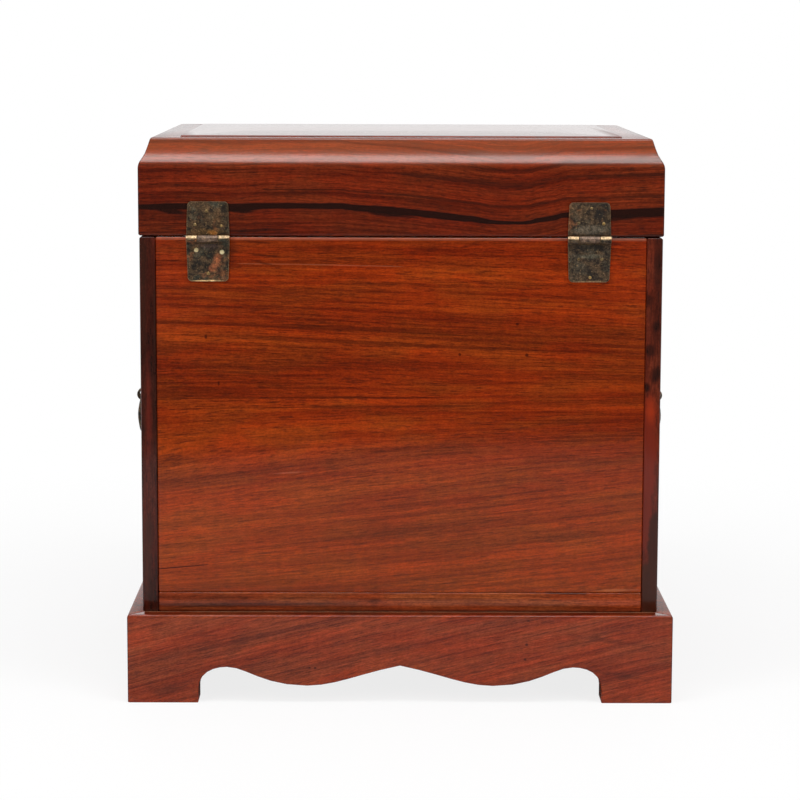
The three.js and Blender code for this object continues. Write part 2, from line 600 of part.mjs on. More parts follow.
// The lid's plate, the hasp that hinges on it and here stands turned up against it, and the rail's staple.
function buildHasp(caseGroup, root) {
  const near = HASP_BARREL_RADIUS + KNUCKLE_GAP;
  const halfPlate = LID_PLATE_WIDTH / 2;
  const corner = LID_PLATE_HEIGHT / 2;
  const lidOutline = new THREE.Shape();
  lidOutline.moveTo(-halfPlate, near).lineTo(halfPlate, near);
  lidOutline.absarc(halfPlate - corner, LID_PLATE_HEIGHT - corner, corner, 0, Math.PI / 2);
  lidOutline.absarc(corner - halfPlate, LID_PLATE_HEIGHT - corner, corner, Math.PI / 2, Math.PI).closePath();
  const onLid = onWall(root, "front", 0, lidFrontY - HASP_STANDOFF, haspAxisZ);
  const barrel = [HASP_BARREL_WIDTH, HASP_BARREL_RADIUS];
  const lidPlate = knuckledLeaf(lidOutline, PLATE_THICKNESS, ...barrel, HASP_STANDOFF, true);
  piece(onLid, "lid_lock_plate", lidPlate, oldBrass);

  const half = HASP_WIDTH / 2;
  const outline = new THREE.Shape();
  const roundFrom = HASP_LENGTH - half;
  outline.moveTo(half, near).lineTo(half, roundFrom).absarc(0, roundFrom, half, 0, Math.PI);
  outline.lineTo(-half, near).closePath();
  const slotMiddle = haspAxisZ - caseTop + RAIL_PLATE_DROP;
  const slot = block(-HASP_SLOT_WIDTH / 2, slotMiddle - HASP_SLOT_HEIGHT / 2, -HASP_STANDOFF,
    HASP_SLOT_WIDTH / 2, slotMiddle + HASP_SLOT_HEIGHT / 2, HASP_STANDOFF);
  const hasp = knuckledLeaf(outline, HASP_THICKNESS, ...barrel, HASP_THICKNESS / 2, false);
  const turn = Math.PI - THREE.MathUtils.degToRad(HASP_STANDS_UP);
  piece(onLid, "hasp", cut(hasp, slot), oldBrass).rotation.x = turn;

  const onRail = onWall(caseGroup, "front", 0, frontY, caseTop - RAIL_PLATE_DROP);
  const disc = new THREE.Shape().absarc(0, 0, RAIL_PLATE_RADIUS, 0, Math.PI * 2);
  const staple = lug(STAPLE_LENGTH, STAPLE_HEIGHT, STAPLE_THICKNESS, LUG_HOLE_RADIUS);
  const railPlate = slab(disc, PLATE_THICKNESS, 0, 2 * CURVE_STEPS);
  piece(onRail, "rail_lock_plate", join(railPlate, staple), oldBrass);
}

// A path of straight runs, with its corners rounded to the given reaches.
function roundedPath(corners, bends) {
  const path = new THREE.CurvePath();
  let from = corners[0];
  bends.forEach((bend, i) => {
    const [before, corner, after] = corners.slice(i, i + 3);
    const enter = corner.clone().lerp(before, bend / corner.distanceTo(before));
    const leave = corner.clone().lerp(after, bend / corner.distanceTo(after));
    path.add(new THREE.LineCurve3(from, enter));
    path.add(new THREE.QuadraticBezierCurve3(enter, corner, leave));
    from = leave;
  });
  path.add(new THREE.LineCurve3(from, corners[corners.length - 1]));
  return path;
}

// A drop handle on the outside of a side board: a plate with two eyes, and the bowed bail that swings there.
function buildSideHandle(caseGroup, root, side, sign) {
  const outline = roundedRectangle(HANDLE_PLATE_LENGTH, HANDLE_PLATE_WIDTH, HANDLE_PLATE_WIDTH / 2 - ARRIS);
  const reach = HANDLE_STANDOFF + HANDLE_EYE_RADIUS;
  const eyes = [-1, 1].map((end) => {
    const eye = lug(reach, 2 * HANDLE_EYE_RADIUS, HANDLE_EYE_WIDTH, holeFor(BAIL_RADIUS, BAIL_PLAY));
    return eye.translate(end * HANDLE_SPACING / 2, 0, 0);
  });
  const plate = onWall(caseGroup, side, sign * halfWidth, 0, HANDLE_HEIGHT);
  piece(plate, "handle_plate_" + side, join(slab(outline, HANDLE_PLATE_THICKNESS), ...eyes), oldBrass);
  const end = (HANDLE_SPACING + HANDLE_EYE_WIDTH) / 2 + BAIL_END;
  const arm = (HANDLE_SPACING - HANDLE_EYE_WIDTH) / 2 - BAIL_SHOULDER;
  const half = [
    [end, 0, 0],
    [arm, 0, 0],
    [arm, -BAIL_DROP * 0.55, BAIL_BOW],
    [arm, -BAIL_DROP, BAIL_BOW * 0.4],
  ];
  const bends = [BAIL_TOP_BEND, BAIL_TOP_BEND, BAIL_BOTTOM_BEND];
  const corners = [...half.map(([x, y, z]) => [-x, y, z]), ...half.reverse()];
  const points = corners.map((corner) => new THREE.Vector3(...corner));
  const path = roundedPath(points, [...bends, ...bends.toReversed()]);
  const section = new THREE.Shape().absarc(0, 0, BAIL_RADIUS, 0, Math.PI * 2);
  const options = { extrudePath: path, steps: BAIL_STEPS, curveSegments: BAIL_SIDES / 2 };
  const holder = onWall(root, side, sign * halfWidth, 0, HANDLE_HEIGHT);
  const rod = new THREE.ExtrudeGeometry(section, options);
  piece(holder, "handle_bail_" + side, rod, oldBrass).position.z = HANDLE_STANDOFF;
}

const chest = new THREE.Group();
const caseGroup = new THREE.Group();
const lidGroup = new THREE.Group();
chest.add(caseGroup, lidGroup);
buildCase(caseGroup);
buildPlinth(caseGroup);
buildDrawers(caseGroup, chest);
buildLid(lidGroup);
buildRearHinges(caseGroup, lidGroup);
buildHasp(caseGroup, lidGroup);
for (const [side, sign] of SIDES) {
  buildDoor(caseGroup, chest, side, sign);
  buildSideHandle(caseGroup, chest, side, sign);
}
chest.position.y = -footprintMiddleY;

const model = new THREE.Group();
model.add(chest);

export default model;
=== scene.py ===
"""A portable seal chest of polished rosewood with old brass fittings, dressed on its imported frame.

The wooden pieces keep the frame's forms, with their arrises rounded and their grain run board by board. The
brass pieces get their rounded rims and their patina, and the rear hinges their nails. Forms are in metres, X
across the chest and Z up, and the photographed back of the chest faces +Y. Marks and finishes are set out in
millimetres on the chest.
"""

import json
import logging
import math
from dataclasses import dataclass, field, replace
from enum import Enum
from typing import Iterable, Sequence

import bmesh
import bpy
from mathutils import Matrix, Vector

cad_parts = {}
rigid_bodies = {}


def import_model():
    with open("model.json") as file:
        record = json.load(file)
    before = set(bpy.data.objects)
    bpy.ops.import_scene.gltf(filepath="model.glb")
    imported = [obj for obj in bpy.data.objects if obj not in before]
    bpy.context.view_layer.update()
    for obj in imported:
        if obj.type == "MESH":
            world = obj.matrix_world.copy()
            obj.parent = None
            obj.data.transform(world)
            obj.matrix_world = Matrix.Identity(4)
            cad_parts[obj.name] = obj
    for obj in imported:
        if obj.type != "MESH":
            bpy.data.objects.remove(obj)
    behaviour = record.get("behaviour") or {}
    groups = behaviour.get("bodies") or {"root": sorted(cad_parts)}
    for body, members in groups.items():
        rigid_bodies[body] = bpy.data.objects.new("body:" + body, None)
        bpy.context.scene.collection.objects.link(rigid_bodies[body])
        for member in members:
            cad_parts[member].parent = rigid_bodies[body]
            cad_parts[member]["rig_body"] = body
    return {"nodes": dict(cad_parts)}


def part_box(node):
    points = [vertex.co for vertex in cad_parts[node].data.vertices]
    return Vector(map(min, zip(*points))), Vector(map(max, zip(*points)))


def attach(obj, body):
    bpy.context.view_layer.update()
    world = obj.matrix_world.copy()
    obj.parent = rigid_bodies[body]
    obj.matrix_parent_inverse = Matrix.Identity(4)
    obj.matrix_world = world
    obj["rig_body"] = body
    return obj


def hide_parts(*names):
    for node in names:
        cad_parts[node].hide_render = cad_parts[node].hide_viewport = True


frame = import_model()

log = logging.getLogger("seal_chest")

MM = 0.001
ENDLESS = 1000.0
REAR_FACE = 205.0
EDGE_REACH = 30.0
LEAF_FACE = 206.5
WELD = 2e-6
FLAT_ANGLE = 0.8
SMOOTH_ANGLE = 32.0
SIDES = ("left", "right")
Colour = tuple[float, float, float]
Points = Sequence[tuple[float, float]]
Socket = bpy.types.NodeSocket


def tint(red: int, green: int, blue: int) -> Colour:
    """A colour given in the 0 to 255 steps of a paint chart, as the linear values that nodes take."""
    steps = (step / 255 for step in (red, green, blue))
    return tuple(s / 12.92 if s <= 0.04045 else ((s + 0.055) / 1.055) ** 2.4 for s in steps)


class Tree:
    """Short ways to add the nodes of one node tree and to join them."""

    def __init__(self, tree: bpy.types.NodeTree) -> None:
        """Starts work on a tree.

        Args:
            tree: The node tree of a material, a world or a node group.
        """
        self.tree = tree

    def add(self, kind: str, *values: object, **settings: object) -> bpy.types.Node:
        """Adds one shader node.

        Args:
            kind: The node's type, without its ShaderNode prefix.
            *values: What its inputs get, in their order, where None leaves one as it is.
            **settings: Values for the node's own properties.

        Returns:
            The new node.
        """
        node = self.tree.nodes.new("ShaderNode" + kind)
        for name, value in settings.items():
            setattr(node, name, value)
        for socket, value in zip(node.inputs, values):
            self.put(socket, value)
        return node

    def put(self, socket: Socket, value: object) -> None:
        """Gives an input socket a value, or joins it to an output socket.

        Args:
            socket: The input socket.
            value: A number, a tuple or an output socket, or None to leave the input as it is.
        """
        if isinstance(value, bpy.types.NodeSocket):
            self.tree.links.new(value, socket)
        elif value is not None:
            if socket.type == "RGBA" and len(value) == 3:
                value = (*value, 1.0)
            socket.default_value = value

    def math(self, operation: str, *values: object, clamp: bool = False) -> Socket:
        """Adds a Math node over up to three values and returns its output."""
        return self.add("Math", *values, operation=operation, use_clamp=clamp).outputs[0]

    def times(self, first: object, *others: object) -> Socket:
        """Multiplies two or more numbers.

        Args:
            first: A number or a socket.
            *others: More of them, at least one.

        Returns:
            The product.
        """
        for other in others:
            first = self.math("MULTIPLY", first, other)
        return first

    def plus(self, first: object, second: object) -> Socket:
        """Adds two numbers and returns the sum."""
        return self.math("ADD", first, second)

    def minus(self, first: object, second: object) -> Socket:
        """Takes the second number from the first and returns the rest."""
        return self.math("SUBTRACT", first, second)

    def vector(self, operation: str, *values: object) -> Socket:
        """Adds a Vector Math node over its values and returns its vector output."""
        return self.add("VectorMath", *values, operation=operation).outputs[0]

    def measure(self, operation: str, *values: object) -> Socket:
        """Adds a Vector Math node over its values and returns its number."""
        return self.add("VectorMath", *values, operation=operation).outputs["Value"]

    def split(self, place: Socket) -> list[Socket]:
        """The three coordinates of a vector."""
        return list(self.add("SeparateXYZ", place).outputs)

    def mix(self, factor: object, first: object, second: object, blend: str = "MIX") -> Socket:
        """Mixes two colours.

        Args:
            factor: How much of the second colour, from 0 to 1.
            first: A colour or a colour socket.
            second: A colour or a colour socket.
            blend: The blend type of the Mix node.

        Returns:
            The mixed colour.
        """
        node = self.add("Mix", factor, data_type="RGBA", blend_type=blend)
        self.put(node.inputs[6], first)
        self.put(node.inputs[7], second)
        return node.outputs[2]

    def between(self, factor: object, first: object, second: object) -> Socket:
        """Mixes two numbers and returns the result."""
        return self.add("Mix", factor, None, first, second, data_type="FLOAT").outputs[0]

    def shaded(self, colour: Socket, share: Socket) -> Socket:
        """Multiplies a colour by a number and returns the result."""
        return self.mix(1.0, colour, self.add("CombineColor", share, share, share).outputs[0], "MULTIPLY")

    def ease(
        self,
        value: object,
        low: object,
        high: object,
        start: float = 0.0,
        end: float = 1.0,
    ) -> Socket:
        """Maps a number from low..high to start..end along a smooth step, held at both ends."""
        node = self.add("MapRange", value, low, high, start, end, interpolation_type="SMOOTHSTEP")
        return node.outputs[0]

    def noise(
        self,
        place: object,
        scale: float | tuple[float, float, float],
        detail: float = 2.0,
        roughness: float = 0.5,
        twist: float = 0.0,
    ) -> Socket:
        """Adds a noise that is stretched by its own scale along each axis.

        Args:
            place: The vector socket to read, in metres.
            scale: How many features a metre holds, the same on every axis or along each.
            detail: The noise's octaves.
            roughness: The share of each finer octave.
            twist: The noise's own distortion.

        Returns:
            The value output, about 0 to 1.
        """
        if isinstance(scale, float):
            scale = (scale, scale, scale)
        node = self.add("TexNoise", self.vector("MULTIPLY", place, scale), noise_dimensions="3D")
        settings = {"Scale": 1.0, "Detail": detail, "Roughness": roughness, "Distortion": twist}
        for name, value in settings.items():
            self.put(node.inputs[name], value)
        return node.outputs[0]

    def curve(self, value: object, points: Points) -> Socket:
        """Adds a Float Curve through points, whose coordinates may lie in any range.

        Args:
            value: The number to look up.
            points: Pairs of a value and its result, in rising order.

        Returns:
            The result at the value.
        """
        xs = [x for x, _ in points]
        ys = [y for _, y in points]
        low, span = min(ys), max(max(ys) - min(ys), 1e-9)
        node = self.add("FloatCurve")
        line = node.mapping.curves[0]
        while len(line.points) < len(points):
            line.points.new(0.5, 0.5)
        for point, (x, y) in zip(line.points, points):
            point.location = ((x - xs[0]) / (xs[-1] - xs[0]), (y - low) / span)
            point.handle_type = "AUTO_CLAMPED"
        node.mapping.update()
        self.put(node.inputs["Factor"], 1.0)
        self.put(node.inputs["Value"], self.add("MapRange", value, xs[0], xs[-1], 0.0, 1.0).outputs[0])
        return self.math("MULTIPLY_ADD", node.outputs[0], span, low)

    def bump(self, height: Socket, strength: float, distance: float) -> Socket:
        """Adds a Bump node.

        Args:
            height: The height to follow.
            strength: The share of the effect.
            distance: How far in metres the height reaches.

        Returns:
            The bumped normal.
        """
        node = self.add("Bump")
        for name, value in (("Strength", strength), ("Distance", distance), ("Height", height)):
            self.put(node.inputs[name], value)
        return node.outputs[0]

    def group(self, tree: bpy.types.NodeTree, **values: object) -> bpy.types.Node:
        """Places a node group with its own values, whose names have _ for a space.

        Args:
            tree: The node group.
            **values: What its inputs get, by their names.

        Returns:
            The group's node.
        """
        node = self.add("Group", node_tree=tree)
        for name, value in values.items():
            self.put(node.inputs[name.replace("_", " ")], value)
        return node


def new_group(
    name: str,
    inputs: dict[str, object],
    outputs: dict[str, str],
) -> tuple[Tree, dict[str, Socket], dict[str, Socket]]:
    """Makes an empty shader node group.

    Args:
        name: The group's name.
        inputs: Each input's name with its default, whose type settles the socket's.
        outputs: Each output's name with Color or Float.

    Returns:
        The group's Tree, its inputs as seen from inside, and its outputs as seen from inside.
    """
    tree = bpy.data.node_groups.new(name, "ShaderNodeTree")
    for label, default in inputs.items():
        kind = "Float"
        if isinstance(default, tuple):
            kind = "Color" if len(default) == 4 else "Vector"
        socket = tree.interface.new_socket(name=label, in_out="INPUT", socket_type="NodeSocket" + kind)
        socket.default_value = default
    for label, kind in outputs.items():
        tree.interface.new_socket(name=label, in_out="OUTPUT", socket_type="NodeSocket" + kind)
    start = tree.nodes.new("NodeGroupInput")
    end = tree.nodes.new("NodeGroupOutput")
    given = {socket.name: socket for socket in start.outputs if socket.name}
    made = {socket.name: socket for socket in end.inputs if socket.name}
    return Tree(tree), given, made


def figure_group() -> bpy.types.NodeTree:
    """Builds the rosewood's figure: soft bands, dark veins, fibres and pores that all follow one grain.

    Its Place runs along the grain in X, across the board's face in Y and through the board in Z.

    Returns:
        The node group.
    """
    grey = (0.5, 0.5, 0.5, 1.0)
    inputs = {
        "Place": (0.0, 0.0, 0.0),
        "Course": 0.0,
        "Waver": 0.004,
        "Bands": 0.6,
        "Veins": 0.4,
        "Pores": 0.6,
        "Blotches": 0.4,
        "Light": grey,
        "Body": grey,
        "Dark": grey,
        "Vein": grey,
    }
    outputs = {"Color": "Color", "Across": "Float", "Gloss": "Float", "Relief": "Float"}
    tree, given, made = new_group("rosewood figure", inputs, outputs)
    place = given["Place"]
    along, across, through = tree.split(place)
    slow = tree.minus(tree.noise(place, (3.0, 9.0, 6.0), 1.0), 0.5)
    quick = tree.minus(tree.noise(place, (16.0, 40.0, 30.0), 1.0), 0.5)
    sway = tree.times(tree.math("MULTIPLY_ADD", quick, 0.16, slow), given["Waver"])
    bent = tree.plus(tree.minus(across, given["Course"]), sway)
    tree.put(made["Across"], bent)
    grain = tree.add("CombineXYZ", along, bent, through).outputs[0]

    zone = tree.ease(tree.noise(grain, (2.6, 24.0, 14.0)), 0.38, 0.62)
    band = tree.ease(tree.noise(grain, (3.4, 115.0, 40.0)), 0.34, 0.66)
    line = tree.ease(tree.noise(grain, (7.0, 430.0, 140.0), 2.0, 0.6), 0.44, 0.62)
    thread = tree.ease(tree.noise(grain, (38.0, 820.0, 300.0), 2.0, 0.6), 0.36, 0.64)
    fibre = tree.noise(grain, (170.0, 1500.0, 900.0), 2.0, 0.65)
    strand = tree.ease(fibre, 0.36, 0.64)
    blotch = tree.ease(tree.noise(place, (9.0, 16.0, 14.0)), 0.35, 0.7)
    shimmer = tree.ease(tree.noise(place, (240.0, 60.0, 120.0)), 0.35, 0.65)
    fleck = tree.ease(tree.noise(grain, (620.0, 1300.0, 900.0), 1.0, 0.6), 0.36, 0.64)
    hue = tree.ease(tree.noise(grain, (22.0, 90.0, 50.0)), 0.36, 0.64)

    ring = tree.math("ABSOLUTE", tree.minus(tree.noise(grain, (2.2, 42.0, 10.0), 1.5, 0.5), 0.5))
    where = tree.ease(tree.noise(grain, (5.0, 30.0, 12.0), 1.0), 0.46, 0.62)
    vein = tree.times(tree.ease(ring, 0.0, 0.02, 1.0, 0.0), where, given["Veins"])

    dash = tree.noise(grain, (130.0, 1900.0, 1200.0), 1.0, 0.5)
    patchy = tree.times(tree.noise(grain, (9.0, 70.0, 40.0), 2.0), 0.14)
    pore = tree.times(tree.ease(tree.plus(dash, patchy), 0.6, 0.74), given["Pores"])

    shade = tree.math("MULTIPLY_ADD", band, 0.45, tree.times(zone, 0.25))
    shade = tree.math("MULTIPLY_ADD", line, 0.3, shade)
    colour = tree.mix(shade, given["Light"], given["Body"])
    deep = tree.times(zone, band, 0.55, given["Bands"])
    lines = tree.times(line, tree.math("MULTIPLY_ADD", zone, 0.35, 0.4))
    deep = tree.math("MULTIPLY_ADD", lines, given["Bands"], deep)
    deep = tree.math("MULTIPLY_ADD", tree.times(blotch, given["Blotches"]), 0.4, deep)
    colour = tree.mix(tree.math("MULTIPLY", deep, 0.85, clamp=True), colour, given["Dark"])
    colour = tree.mix(vein, colour, given["Vein"])
    fine = tree.times(
        tree.between(thread, 1.12, 0.86),
        tree.between(strand, 1.12, 0.88),
        tree.between(shimmer, 0.95, 1.05),
        tree.between(fleck, 0.87, 1.13),
    )
    colour = tree.shaded(colour, fine)
    cast = tree.mix(hue, (1.04, 0.88, 0.82), (0.97, 1.12, 1.16))
    colour = tree.mix(1.0, colour, cast, "MULTIPLY")
    colour = tree.mix(tree.times(pore, 0.65), colour, given["Vein"])
    tree.put(made["Color"], colour)

    gloss = tree.math("MULTIPLY_ADD", pore, 0.06, tree.times(strand, 0.02))
    tree.put(made["Gloss"], gloss)
    relief = tree.minus(tree.times(fibre, 0.3), tree.times(pore, 0.5))
    tree.put(made["Relief"], relief)
    return tree.tree


def streak_group() -> bpy.types.NodeTree:
    """Builds the mask of one dark streak that lies along the grain at a level of its own, and tapers.

    Returns:
        The node group.
    """
    inputs = {
        "Across": 0.0,
        "Ragged": 0.0,
        "Level": 0.0,
        "Half Width": 0.002,
        "Softness": 0.4,
        "Fray": 0.3,
    }
    tree, given, made = new_group("dark streak", inputs, {"Mask": "Float"})
    off = tree.minus(given["Across"], given["Level"])
    under = tree.ease(off, -0.0006, 0.0006, 1.0, 0.45)
    ragged = tree.times(given["Ragged"], given["Fray"], under)
    share = tree.math("DIVIDE", tree.math("ABSOLUTE", off), given["Half Width"])
    share = tree.plus(share, ragged)
    inner = tree.minus(1.0, given["Softness"])
    outer = tree.plus(1.0, given["Softness"])
    dark = tree.ease(share, inner, outer, 1.0, 0.0)
    wide = tree.ease(given["Half Width"], 0.00005, 0.0003)
    tree.put(made["Mask"], tree.times(dark, wide))
    return tree.tree


def knot_group() -> bpy.types.NodeTree:
    """Builds the mask of a small knot or smudge, longer along its own lean than across it.

    Returns:
        The node group.
    """
    inputs = {
        "Place": (0.0, 0.0, 0.0),
        "Wander": 0.0,
        "Centre": (0.0, 0.0, 0.0),
        "Reach": (0.002, 0.001, 1.0),
        "Lean": 0.0,
        "Softness": 0.6,
    }
    tree, given, made = new_group("knot", inputs, {"Mask": "Float"})
    along, across, through = tree.split(tree.vector("SUBTRACT", given["Place"], given["Centre"]))
    up = tree.minus(across, tree.times(along, given["Lean"]))
    level = tree.add("CombineXYZ", along, up, through).outputs[0]
    size = tree.measure("LENGTH", tree.vector("DIVIDE", level, given["Reach"]))
    ragged = tree.plus(given["Wander"], size)
    inner = tree.minus(1.0, given["Softness"])
    tree.put(made["Mask"], tree.ease(ragged, inner, 1.0, 1.0, 0.0))
    return tree.tree


def edge_mask_group() -> bpy.types.NodeTree:
    """Builds the mask of sharp edges: strong where the surface turns sharply, and broken by noise. The brass
    uses it for its rubbed edges, the wood for painted shade along its arrises.

    Returns:
        The node group.
    """
    inputs = {"Place": (0.0, 0.0, 0.0), "Radius": 0.0008, "Broken": 0.5}
    tree, given, made = new_group("edge mask", inputs, {"Mask": "Float"})
    round_off = tree.add("Bevel", given["Radius"], samples=4)
    facing = tree.add("NewGeometry").outputs["Normal"]
    turn = tree.measure("DOT_PRODUCT", round_off.outputs[0], facing)
    edge = tree.ease(turn, 0.8, 0.99, 1.0, 0.0)
    gaps = tree.ease(tree.noise(given["Place"], 160.0, 3.0, 0.6), 0.35, 0.6)
    kept = tree.between(given["Broken"], 1.0, gaps)
    tree.put(made["Mask"], tree.times(edge, kept))
    return tree.tree


FIGURE = figure_group()
STREAK = streak_group()
KNOT = knot_group()
EDGE_MASK = edge_mask_group()


class Run(Enum):
    """How a board lies: the signed axes along its grain, across its face and through it."""

    ACROSS_UPRIGHT = ("-X", "Z", "Y")
    DEEP_UPRIGHT = ("Y", "Z", "X")
    TALL_UPRIGHT = ("Z", "Y", "X")
    ACROSS_FLAT = ("-X", "Y", "Z")


@dataclass(frozen=True)
class Streak:
    """A streak in a board, at a level across the grain in millimetres, and dark unless it has a tone."""

    level: float
    widths: Points
    depth: float = 1.0
    softness: float = 0.35
    fray: float = 0.5
    tone: Colour | None = None


@dataclass(frozen=True)
class Knot:
    """A knot or smudge: its middle and its reach along, across and, if given, through the board."""

    middle: tuple[float, ...]
    reach: tuple[float, ...]
    lean: float = 0.0
    depth: float = 0.8
    softness: float = 0.6
    tone: Colour | None = None


class Layer(Enum):
    """How a wash lies over the wood: added to it as painted light (a painted sheen, highlight or
    reflection), or multiplied in as a tint, which stains some boards and paints shade on others.
    """

    # Painted light: sheen, highlights and reflections added to the wood's colour.
    PAINTED_LIGHT = "ADD"
    # A multiplied tint: a stain on some boards, painted shade on others.
    STAIN_AND_SHADE = "MULTIPLY"


@dataclass(frozen=True)
class Wash:
    """A colour that lies across a board, in full at one level and not at all at another."""

    full: float
    none: float
    colour: Colour
    layer: Layer = Layer.PAINTED_LIGHT


def new_material(name: str) -> tuple[bpy.types.Material, Tree, bpy.types.Node]:
    """Makes a material whose nodes are ready for more.

    Args:
        name: The material's name.

    Returns:
        The material, its Tree and its shader.
    """
    material = bpy.data.materials.new(name)
    material.use_nodes = True
    return material, Tree(material.node_tree), material.node_tree.nodes["Principled BSDF"]


def turned_place(tree: Tree, run: Run) -> Socket:
    """Turns the object's own coordinates so that they run along, across and through a board.

    Args:
        tree: The material's node tree.
        run: How the board lies.

    Returns:
        The turned coordinates.
    """
    axes = dict(zip("XYZ", tree.split(tree.add("TexCoord").outputs["Object"])))
    turned = (tree.times(axes[a[-1]], -1.0) if a[0] == "-" else axes[a] for a in run.value)
    return tree.add("CombineXYZ", *turned).outputs[0]


def with_knots(tree: Tree, place: Socket, knots: Sequence[Knot], colour: Socket, plain: Colour) -> Socket:
    """Lays knots or smudges over a colour.

    Args:
        tree: The material's node tree.
        place: The turned coordinates.
        knots: The knots, in the order they are laid.
        colour: The colour under them.
        plain: The colour of a knot that has no tone of its own.

    Returns:
        The marked colour.
    """
    if not knots:
        return colour
    uneven = tree.noise(place, (90.0, 300.0, 90.0), 3.0, 0.6)
    wander = tree.math("MULTIPLY_ADD", uneven, 1.1, -0.55)
    for knot in knots:
        mask = tree.group(
            KNOT,
            Place=place,
            Wander=wander,
            Centre=[size * MM for size in (*knot.middle, 0.0)[:3]],
            Reach=[size * MM for size in (*knot.reach, ENDLESS)[:3]],
            Lean=knot.lean,
            Softness=knot.softness,
        )
        colour = tree.mix(tree.times(mask.outputs[0], knot.depth), colour, knot.tone or plain)
    return colour


@dataclass(frozen=True)
class Rosewood:
    """The finish of one kind of polished board.

    The course gives, in millimetres, how far the grain has climbed at each place along the board. The tilt
    gives the grain's slope at each height across it.
    """

    light: Colour = tint(160, 62, 28)
    body: Colour = tint(128, 44, 18)
    dark: Colour = tint(84, 24, 12)
    vein: Colour = tint(36, 16, 10)
    roughness: float = 0.13
    bands: float = 0.7
    veins: float = 0.4
    pores: float = 0.7
    blotches: float = 0.4
    waver: float = 0.006
    seed: float = 0.0
    course: Points = ()
    tilt: Points = ()
    streaks: tuple[Streak, ...] = ()
    knots: tuple[Knot, ...] = ()
    washes: tuple[Wash, ...] = ()
    # How much painted shade darkens the rounded arrises.
    edge: float = 0.55
    coat: float = 0.0

    def figure(self, tree: Tree, place: Socket, offset: float) -> bpy.types.Node:
        """Adds the wood's figure, which follows the board's course and tilt.

        Args:
            tree: The material's node tree.
            place: The turned coordinates.
            offset: A shift that gives the board a figure of its own.

        Returns:
            The figure's group node.
        """
        along, level, _ = tree.split(place)
        course = 0.0
        if self.course:
            course = tree.curve(along, [(x * MM, y * MM) for x, y in self.course])
        if self.tilt:
            slope = tree.curve(level, [(v * MM, s) for v, s in self.tilt])
            course = tree.math("MULTIPLY_ADD", along, slope, course)
        shift = (offset * 0.731, 0.0 if self.streaks else offset * 1.13, offset * 2.37)
        return tree.group(
            FIGURE,
            Place=tree.vector("ADD", place, shift),
            Course=course,
            Waver=self.waver,
            Bands=self.bands,
            Veins=self.veins,
            Pores=self.pores,
            Blotches=self.blotches,
            Light=self.light,
            Body=self.body,
            Dark=self.dark,
            Vein=self.vein,
        )

    def marked(self, tree: Tree, place: Socket, across: Socket, colour: Socket) -> Socket:
        """Lays the board's washes, streaks and knots over its figure.

        Args:
            tree: The material's node tree.
            place: The turned coordinates.
            across: The level across the bent grain.
            colour: The figure's colour.

        Returns:
            The marked colour.
        """
        along, level, _ = tree.split(place)
        # The washes add painted sheen, highlight and reflection, and multiply in stains and painted shade.
        for wash in self.washes:
            share = tree.ease(level, *self.rising(wash))
            colour = tree.mix(share, colour, wash.colour, wash.layer.value)
        ragged = 0.0
        if self.streaks:
            ragged = tree.minus(tree.noise(place, (60.0, 500.0, 200.0), 3.0, 0.65), 0.5)
        for streak in self.streaks:
            half = tree.curve(along, [(x * MM, w * MM) for x, w in streak.widths])
            mask = tree.group(
                STREAK,
                Across=across,
                Ragged=ragged,
                Level=streak.level * MM,
                Half_Width=half,
                Softness=streak.softness,
                Fray=streak.fray,
            )
            share = tree.times(mask.outputs[0], streak.depth)
            colour = tree.mix(share, colour, streak.tone or self.vein)
        return with_knots(tree, place, self.knots, colour, self.vein)

    @staticmethod
    def rising(wash: Wash) -> tuple[float, float, float, float]:
        """The span of a wash in metres from its lower level, with its strength at each end.

        Args:
            wash: The wash.

        Returns:
            The lower and the upper level, and the strength at each.
        """
        if wash.full < wash.none:
            return (wash.full * MM, wash.none * MM, 1.0, 0.0)
        return (wash.none * MM, wash.full * MM, 0.0, 1.0)

    def material(self, name: str, run: Run, offset: float) -> bpy.types.Material:
        """Makes the board's material.

        Args:
            name: The material's name.
            run: How the board lies.
            offset: A shift that gives the board a figure of its own.

        Returns:
            The material.
        """
        material, tree, shader = new_material(name)
        place = turned_place(tree, run)
        figure = self.figure(tree, place, offset)
        colour = self.marked(tree, place, figure.outputs["Across"], figure.outputs["Color"])
        # Painted shade: the rounded arrises are darkened towards the vein colour.
        edge = tree.group(EDGE_MASK, Place=place, Radius=0.0011, Broken=0.2).outputs[0]
        colour = tree.mix(tree.times(edge, self.edge), colour, self.vein)
        tree.put(shader.inputs["Base Color"], colour)
        tree.put(shader.inputs["Roughness"], tree.plus(figure.outputs["Gloss"], self.roughness))
        shader.inputs["Specular IOR Level"].default_value = 0.4
        shader.inputs["Coat Weight"].default_value = self.coat
        tree.put(shader.inputs["Normal"], tree.bump(figure.outputs["Relief"], 0.12, 0.1 * MM))
        return material


